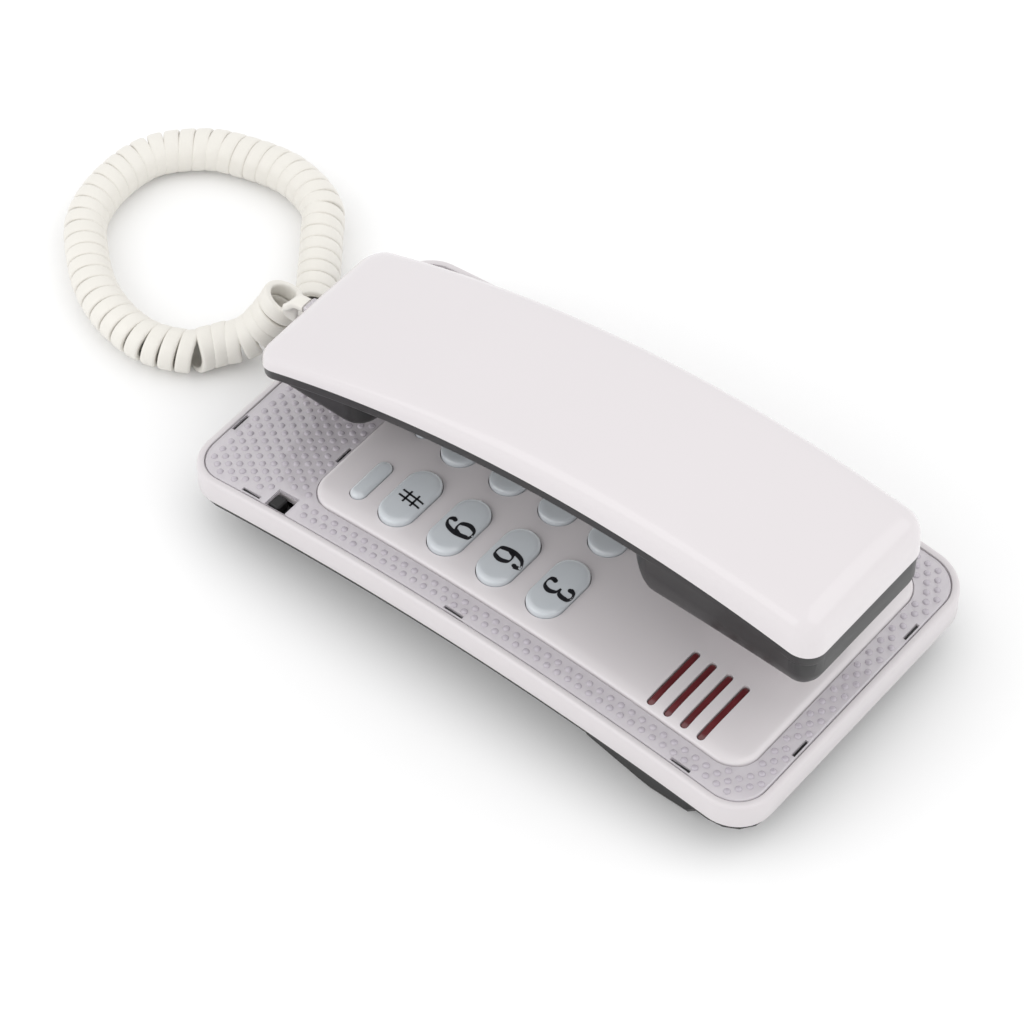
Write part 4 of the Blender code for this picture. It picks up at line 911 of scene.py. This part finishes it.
def handset_cover():
    """White arched shell: steep sides that roll into a nearly flat top."""
    low, high = edge(), crest()
    roll = [(0, 0), (0.04, 0.12), (0.1, 0.3), (0.2, 0.46), (0.4, 0.58), (0.75, 0.69), (1.25, 0.78)]
    roll += [(1.9, 0.855), (2.7, 0.91), (3.7, 0.955), (4.8, 0.985), (6.1, 1)]
    bm = bmesh.new()
    levels = [(inset * MM, between(low, high, share)) for inset, share in roll]
    add_loft(bm, *handset_plan(0), levels, columns=16, straights=64, arcs=14)
    cover = piece("handset_cover", bm, GLOSS)
    bm = bmesh.new()
    levels = [(0, edge(-1 * MM)), (0, between(low, high, 0.4)), (4 * MM, crest(-HANDSET_WALL))]
    add_loft(bm, *handset_plan(HANDSET_WALL), levels)
    hollow = piece("cover_hollow", bm)
    carve(cover, [hollow])
    show(cover, "handset", "gloss_abs", "handset_shell")


def block_plan(start, end, width, inset):
    size = (width - 2 * inset, end - start - 2 * inset)
    return (HANDSET_MIDDLE.x, (start + end) / 2), size, HANDSET_CORNER - inset


def handset_tray():
    """Dark underside: a shallow tray along the arch, with a deep block at each end."""
    ends = (hand_low.y + STRIP_INSET, hand_high.y - STRIP_INSET)
    ear = (EAR_START, ends[1], HANDSET_SIZE.x - 3 * STRIP_INSET)
    mouth = (ends[0], MOUTH_END, MOUTH_WIDTH)
    bm = bmesh.new()
    levels = [(i * MM, edge(h * MM - STRIP - GAP)) for i, h in ((1.2, 0), (0.6, 0.15), (0.2, 0.5), (0, 1.1))]
    add_loft(bm, *handset_plan(STRIP_INSET), levels + [(0, edge(-GAP))])
    tray = piece("handset_tray", bm, GREY)
    shoulder, rest, inside = edge(-EAR_DEPTH), level(EAR_Z), edge(-2 * MM)
    bulge = [(6, 0), (4.6, 0.04), (3.4, 0.12), (2.3, 0.27), (1.3, 0.48), (0.5, 0.75), (0, 1)]
    levels = [(i * MM, between(rest, shoulder, share)) for i, share in bulge]
    bm = bmesh.new()
    add_loft(bm, *block_plan(*ear, 0), levels + [(0, inside)], straights=20)
    blocks = [piece("ear_block", bm)]
    bulge = [(4, 0), (2.4, 0.2), (1.1, 0.8), (0.3, 1.8), (0, 3)]
    levels = [(i * MM, level(MOUTH_Z + h * MM)) for i, h in bulge]
    bm = bmesh.new()
    add_loft(bm, *block_plan(*mouth, 0), levels + [(0, inside)], straights=12)
    blocks.append(piece("mouth_block", bm))
    carve(tray, blocks, "UNION")

    wall, above = HANDSET_WALL, edge(6 * MM)
    bm = bmesh.new()
    levels = [(0, edge(-STRIP - GAP + wall)), (0, above)]
    add_loft(bm, *handset_plan(STRIP_INSET + wall), levels)
    rooms = [piece("tray_room", bm)]
    bm = bmesh.new()
    levels = [(4 * MM, level(EAR_Z + wall)), (0.6 * MM, between(rest, shoulder, 0.6))]
    levels += [(0, shoulder), (0, above)]
    add_loft(bm, *block_plan(*ear, wall), levels)
    rooms.append(piece("ear_room", bm))
    bm = bmesh.new()
    add_loft(bm, *block_plan(*mouth, wall), [(0, level(MOUTH_Z + wall)), (0, above)])
    rooms.append(piece("mouth_room", bm))

    bm = bmesh.new()
    low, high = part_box("cord_plug_handset")
    slack = 0.4 * MM
    start = (hand_low.y - 4 * MM, hand_low.y + 3.2 * MM)
    add_box(bm, (low.x - slack, high.x + slack), start, (low.z - slack, high.z + slack))
    low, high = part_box("hanger_tab")
    slack = 0.9 * MM
    add_box(bm, (low.x - slack, high.x + slack), (low.y - slack, high.y + slack), (EAR_Z - 2 * MM, 50 * MM))
    add_cylinder(bm, EAR_CAP_RADIUS + GAP, 0, EAR_CAP_Y, (EAR_Z - 2 * MM, EAR_Z + 4 * MM))
    at = middle_of("microphone")
    for x in (-SOUND_PITCH, 0, SOUND_PITCH):
        add_cylinder(bm, SOUND_HOLE, at.x + x, at.y, (MOUTH_Z - 4 * MM, MOUTH_Z + 4 * MM), 16)
    for node in ("handset_screw_lower", "handset_screw_upper"):
        at = middle_of(node)
        add_cylinder(bm, SCREW_HOLE, at.x, at.y, (40 * MM, 64 * MM), 24)
    carve(tray, rooms + [piece("tray_holes", bm)])
    show(tray, "handset", "grey_abs", "handset_back")


# Curly cord


def route(points, spacing):
    """Evenly spaced points along a smooth curve."""
    dense = spline([Vector(p) * MM for p in points], 24)
    travelled = [0.0]
    for a, b in zip(dense, dense[1:]):
        travelled.append(travelled[-1] + (b - a).length)
    count = max(2, round(travelled[-1] / spacing))
    line = []
    i = 0
    for k in range(count + 1):
        s = travelled[-1] * k / count
        while i < len(dense) - 2 and travelled[i + 1] < s:
            i += 1
        share = (s - travelled[i]) / (travelled[i + 1] - travelled[i])
        line.append(dense[i].lerp(dense[i + 1], min(1, share)))
    return line


def unit(vector, along):
    """The part of a vector that is square to another, one unit long."""
    return (vector - along * vector.dot(along)).normalized()


def cord_path():
    """The flat cord's centreline and the way its flat side faces, from plug to plug."""
    line = route(COIL, TURN / STEPS)
    base = [Vector(p) * MM for p in BASE_LEAD]
    lead = [Vector(p) * MM for p in HANDSET_LEAD]
    wind = COIL_RADIUS - CORD_THICK / 2
    heads = directions(line)
    sides = [unit(Vector((0, 0, 1)), heads[0])]
    for ahead in heads[1:]:
        sides.append(unit(sides[-1], ahead))
    # The last turn is left where the cord heads for the handset
    leave = unit(lead[0] - line[-1], heads[-1]).cross(heads[-1]) * -1
    spin = math.atan2(leave.dot(heads[-1].cross(sides[-1])), leave.dot(sides[-1]))
    centre, faces = [], []
    for i, (point, ahead, side) in enumerate(zip(line, heads, sides)):
        turn = spin - 2 * math.pi * (i - len(line) + 1) / STEPS
        radial = side * math.cos(turn) + ahead.cross(side) * math.sin(turn)
        share = min(1, i / EASE)
        centre.append(point + radial * wind * share * share * (3 - 2 * share))
        faces.append(radial)
    flat = Vector((0, 0, 1))
    start = spline(base + [centre[0], centre[1]], END_STEPS)[: -END_STEPS - 1]
    end = spline([centre[-2], centre[-1]] + lead, END_STEPS)[END_STEPS + 1 :]
    count = len(start)
    faces = [flat.lerp(faces[0], (i / count) ** 2) for i in range(count)] + faces
    faces += [faces[-1].lerp(flat, min(1, 1.3 * (i + 1) / len(end))) for i in range(len(end))]
    return start + centre + end, faces


def curly_cord():
    """Flat cord, close-wound, that runs from the base and lifts to the handset."""
    centre, faces = cord_path()
    bm = bmesh.new()
    loops = []
    for point, along, face_way in zip(centre, directions(centre), faces):
        thin = unit(face_way, along)
        wide = along.cross(thin)
        loop = []
        for k in range(CORD_CORNERS):
            a = 2 * math.pi * (k + 0.5) / CORD_CORNERS
            c, s = math.cos(a), math.sin(a)
            x = math.copysign(abs(c) ** 0.4, c) * CORD_WIDTH / 2
            y = math.copysign(abs(s) ** 0.55, s) * CORD_THICK / 2
            loop.append(bm.verts.new(point + wide * x + thin * y))
        loops.append(loop)
    for low, high in zip(loops, loops[1:]):
        for k in range(CORD_CORNERS):
            j = (k + 1) % CORD_CORNERS
            bm.faces.new((low[k], low[j], high[j], high[k]))
    bm.faces.new(loops[0])
    bm.faces.new(list(reversed(loops[-1])))
    bmesh.ops.recalc_face_normals(bm, faces=bm.faces)
    cord = piece("coiled_cord", bm, IVORY)
    smooth(cord, 60)
    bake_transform(cord)
    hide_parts("curly_cord", "cord_lead_base", "cord_lead_handset")
    length = sum((b - a).length for a, b in zip(centre, centre[1:]))
    tuple(centre[0])
    [tuple(p) for p in centre]


# Table, light and camera


def area_light(name, place, aim, size, power):
    data = bpy.data.lights.new(name, "AREA")
    data.shape = "RECTANGLE"
    data.size, data.size_y = size
    data.energy = power
    made = bpy.data.objects.new(name, data)
    made.location = place
    made.rotation_euler = (Vector(aim) - Vector(place)).to_track_quat("-Z", "Y").to_euler()
    bpy.context.scene.collection.objects.link(made)


def studio():
    bm = bmesh.new()
    bmesh.ops.create_grid(bm, x_segments=8, y_segments=8, size=TABLE_HALF)
    table = piece("table", bm, TABLE)
    world = bpy.data.worlds.new("studio")
    bpy.context.scene.world = world
    world.use_nodes = True
    backdrop = world.node_tree.nodes["Background"]
    backdrop.inputs["Color"].default_value = linear("FFFFFF")
    backdrop.inputs["Strength"].default_value = 1.0
    aim = (0, 0, 0.03)
    area_light("key_softbox", (-0.5, 0.9, 1.1), aim, (1.4, 1.4), 4)
    area_light("fill_softbox", (1.1, -0.6, 0.9), aim, (1.4, 1.2), 4.5)


def camera():
    azimuth, elevation, roll = math.radians(129.31), math.radians(50.38), math.radians(-0.54)
    target = Vector((0.01095, -0.01139, 0.02496))
    distance = 1.174
    back = Vector(
        (
            math.sin(azimuth) * math.cos(elevation),
            -math.cos(azimuth) * math.cos(elevation),
            math.sin(elevation),
        )
    )
    data = bpy.data.cameras.new("camera")
    data.sensor_width = 36
    data.lens = 162.3
    made = bpy.data.objects.new("camera", data)
    made.location = target + back * distance
    turn = (-back).to_track_quat("-Z", "Y")
    made.rotation_mode = "QUATERNION"
    made.rotation_quaternion = turn @ Matrix.Rotation(roll, 4, "Z").to_quaternion()
    bpy.context.scene.collection.objects.link(made)
    bpy.context.scene.camera = made


bpy.context.scene.view_settings.view_transform = "Standard"
camera()
studio()
finish_nodes()
curly_cord()
front_bezel()
clear_cover()
keypad_cover()
for key_node in NUMBER_KEYS:
    key_cap(key_node, KEY_LENGTH, KEY_WIDTH, KEY_RISE, KEY_DOME, KEY_ROLL)
    figure(key_node)
for key_node in PILL_KEYS:
    key_cap(key_node, PILL_LENGTH, PILL_WIDTH, PILL_RISE, PILL_DOME, PILL_ROLL)
lamp_window()
handset_cover()
handset_tray()
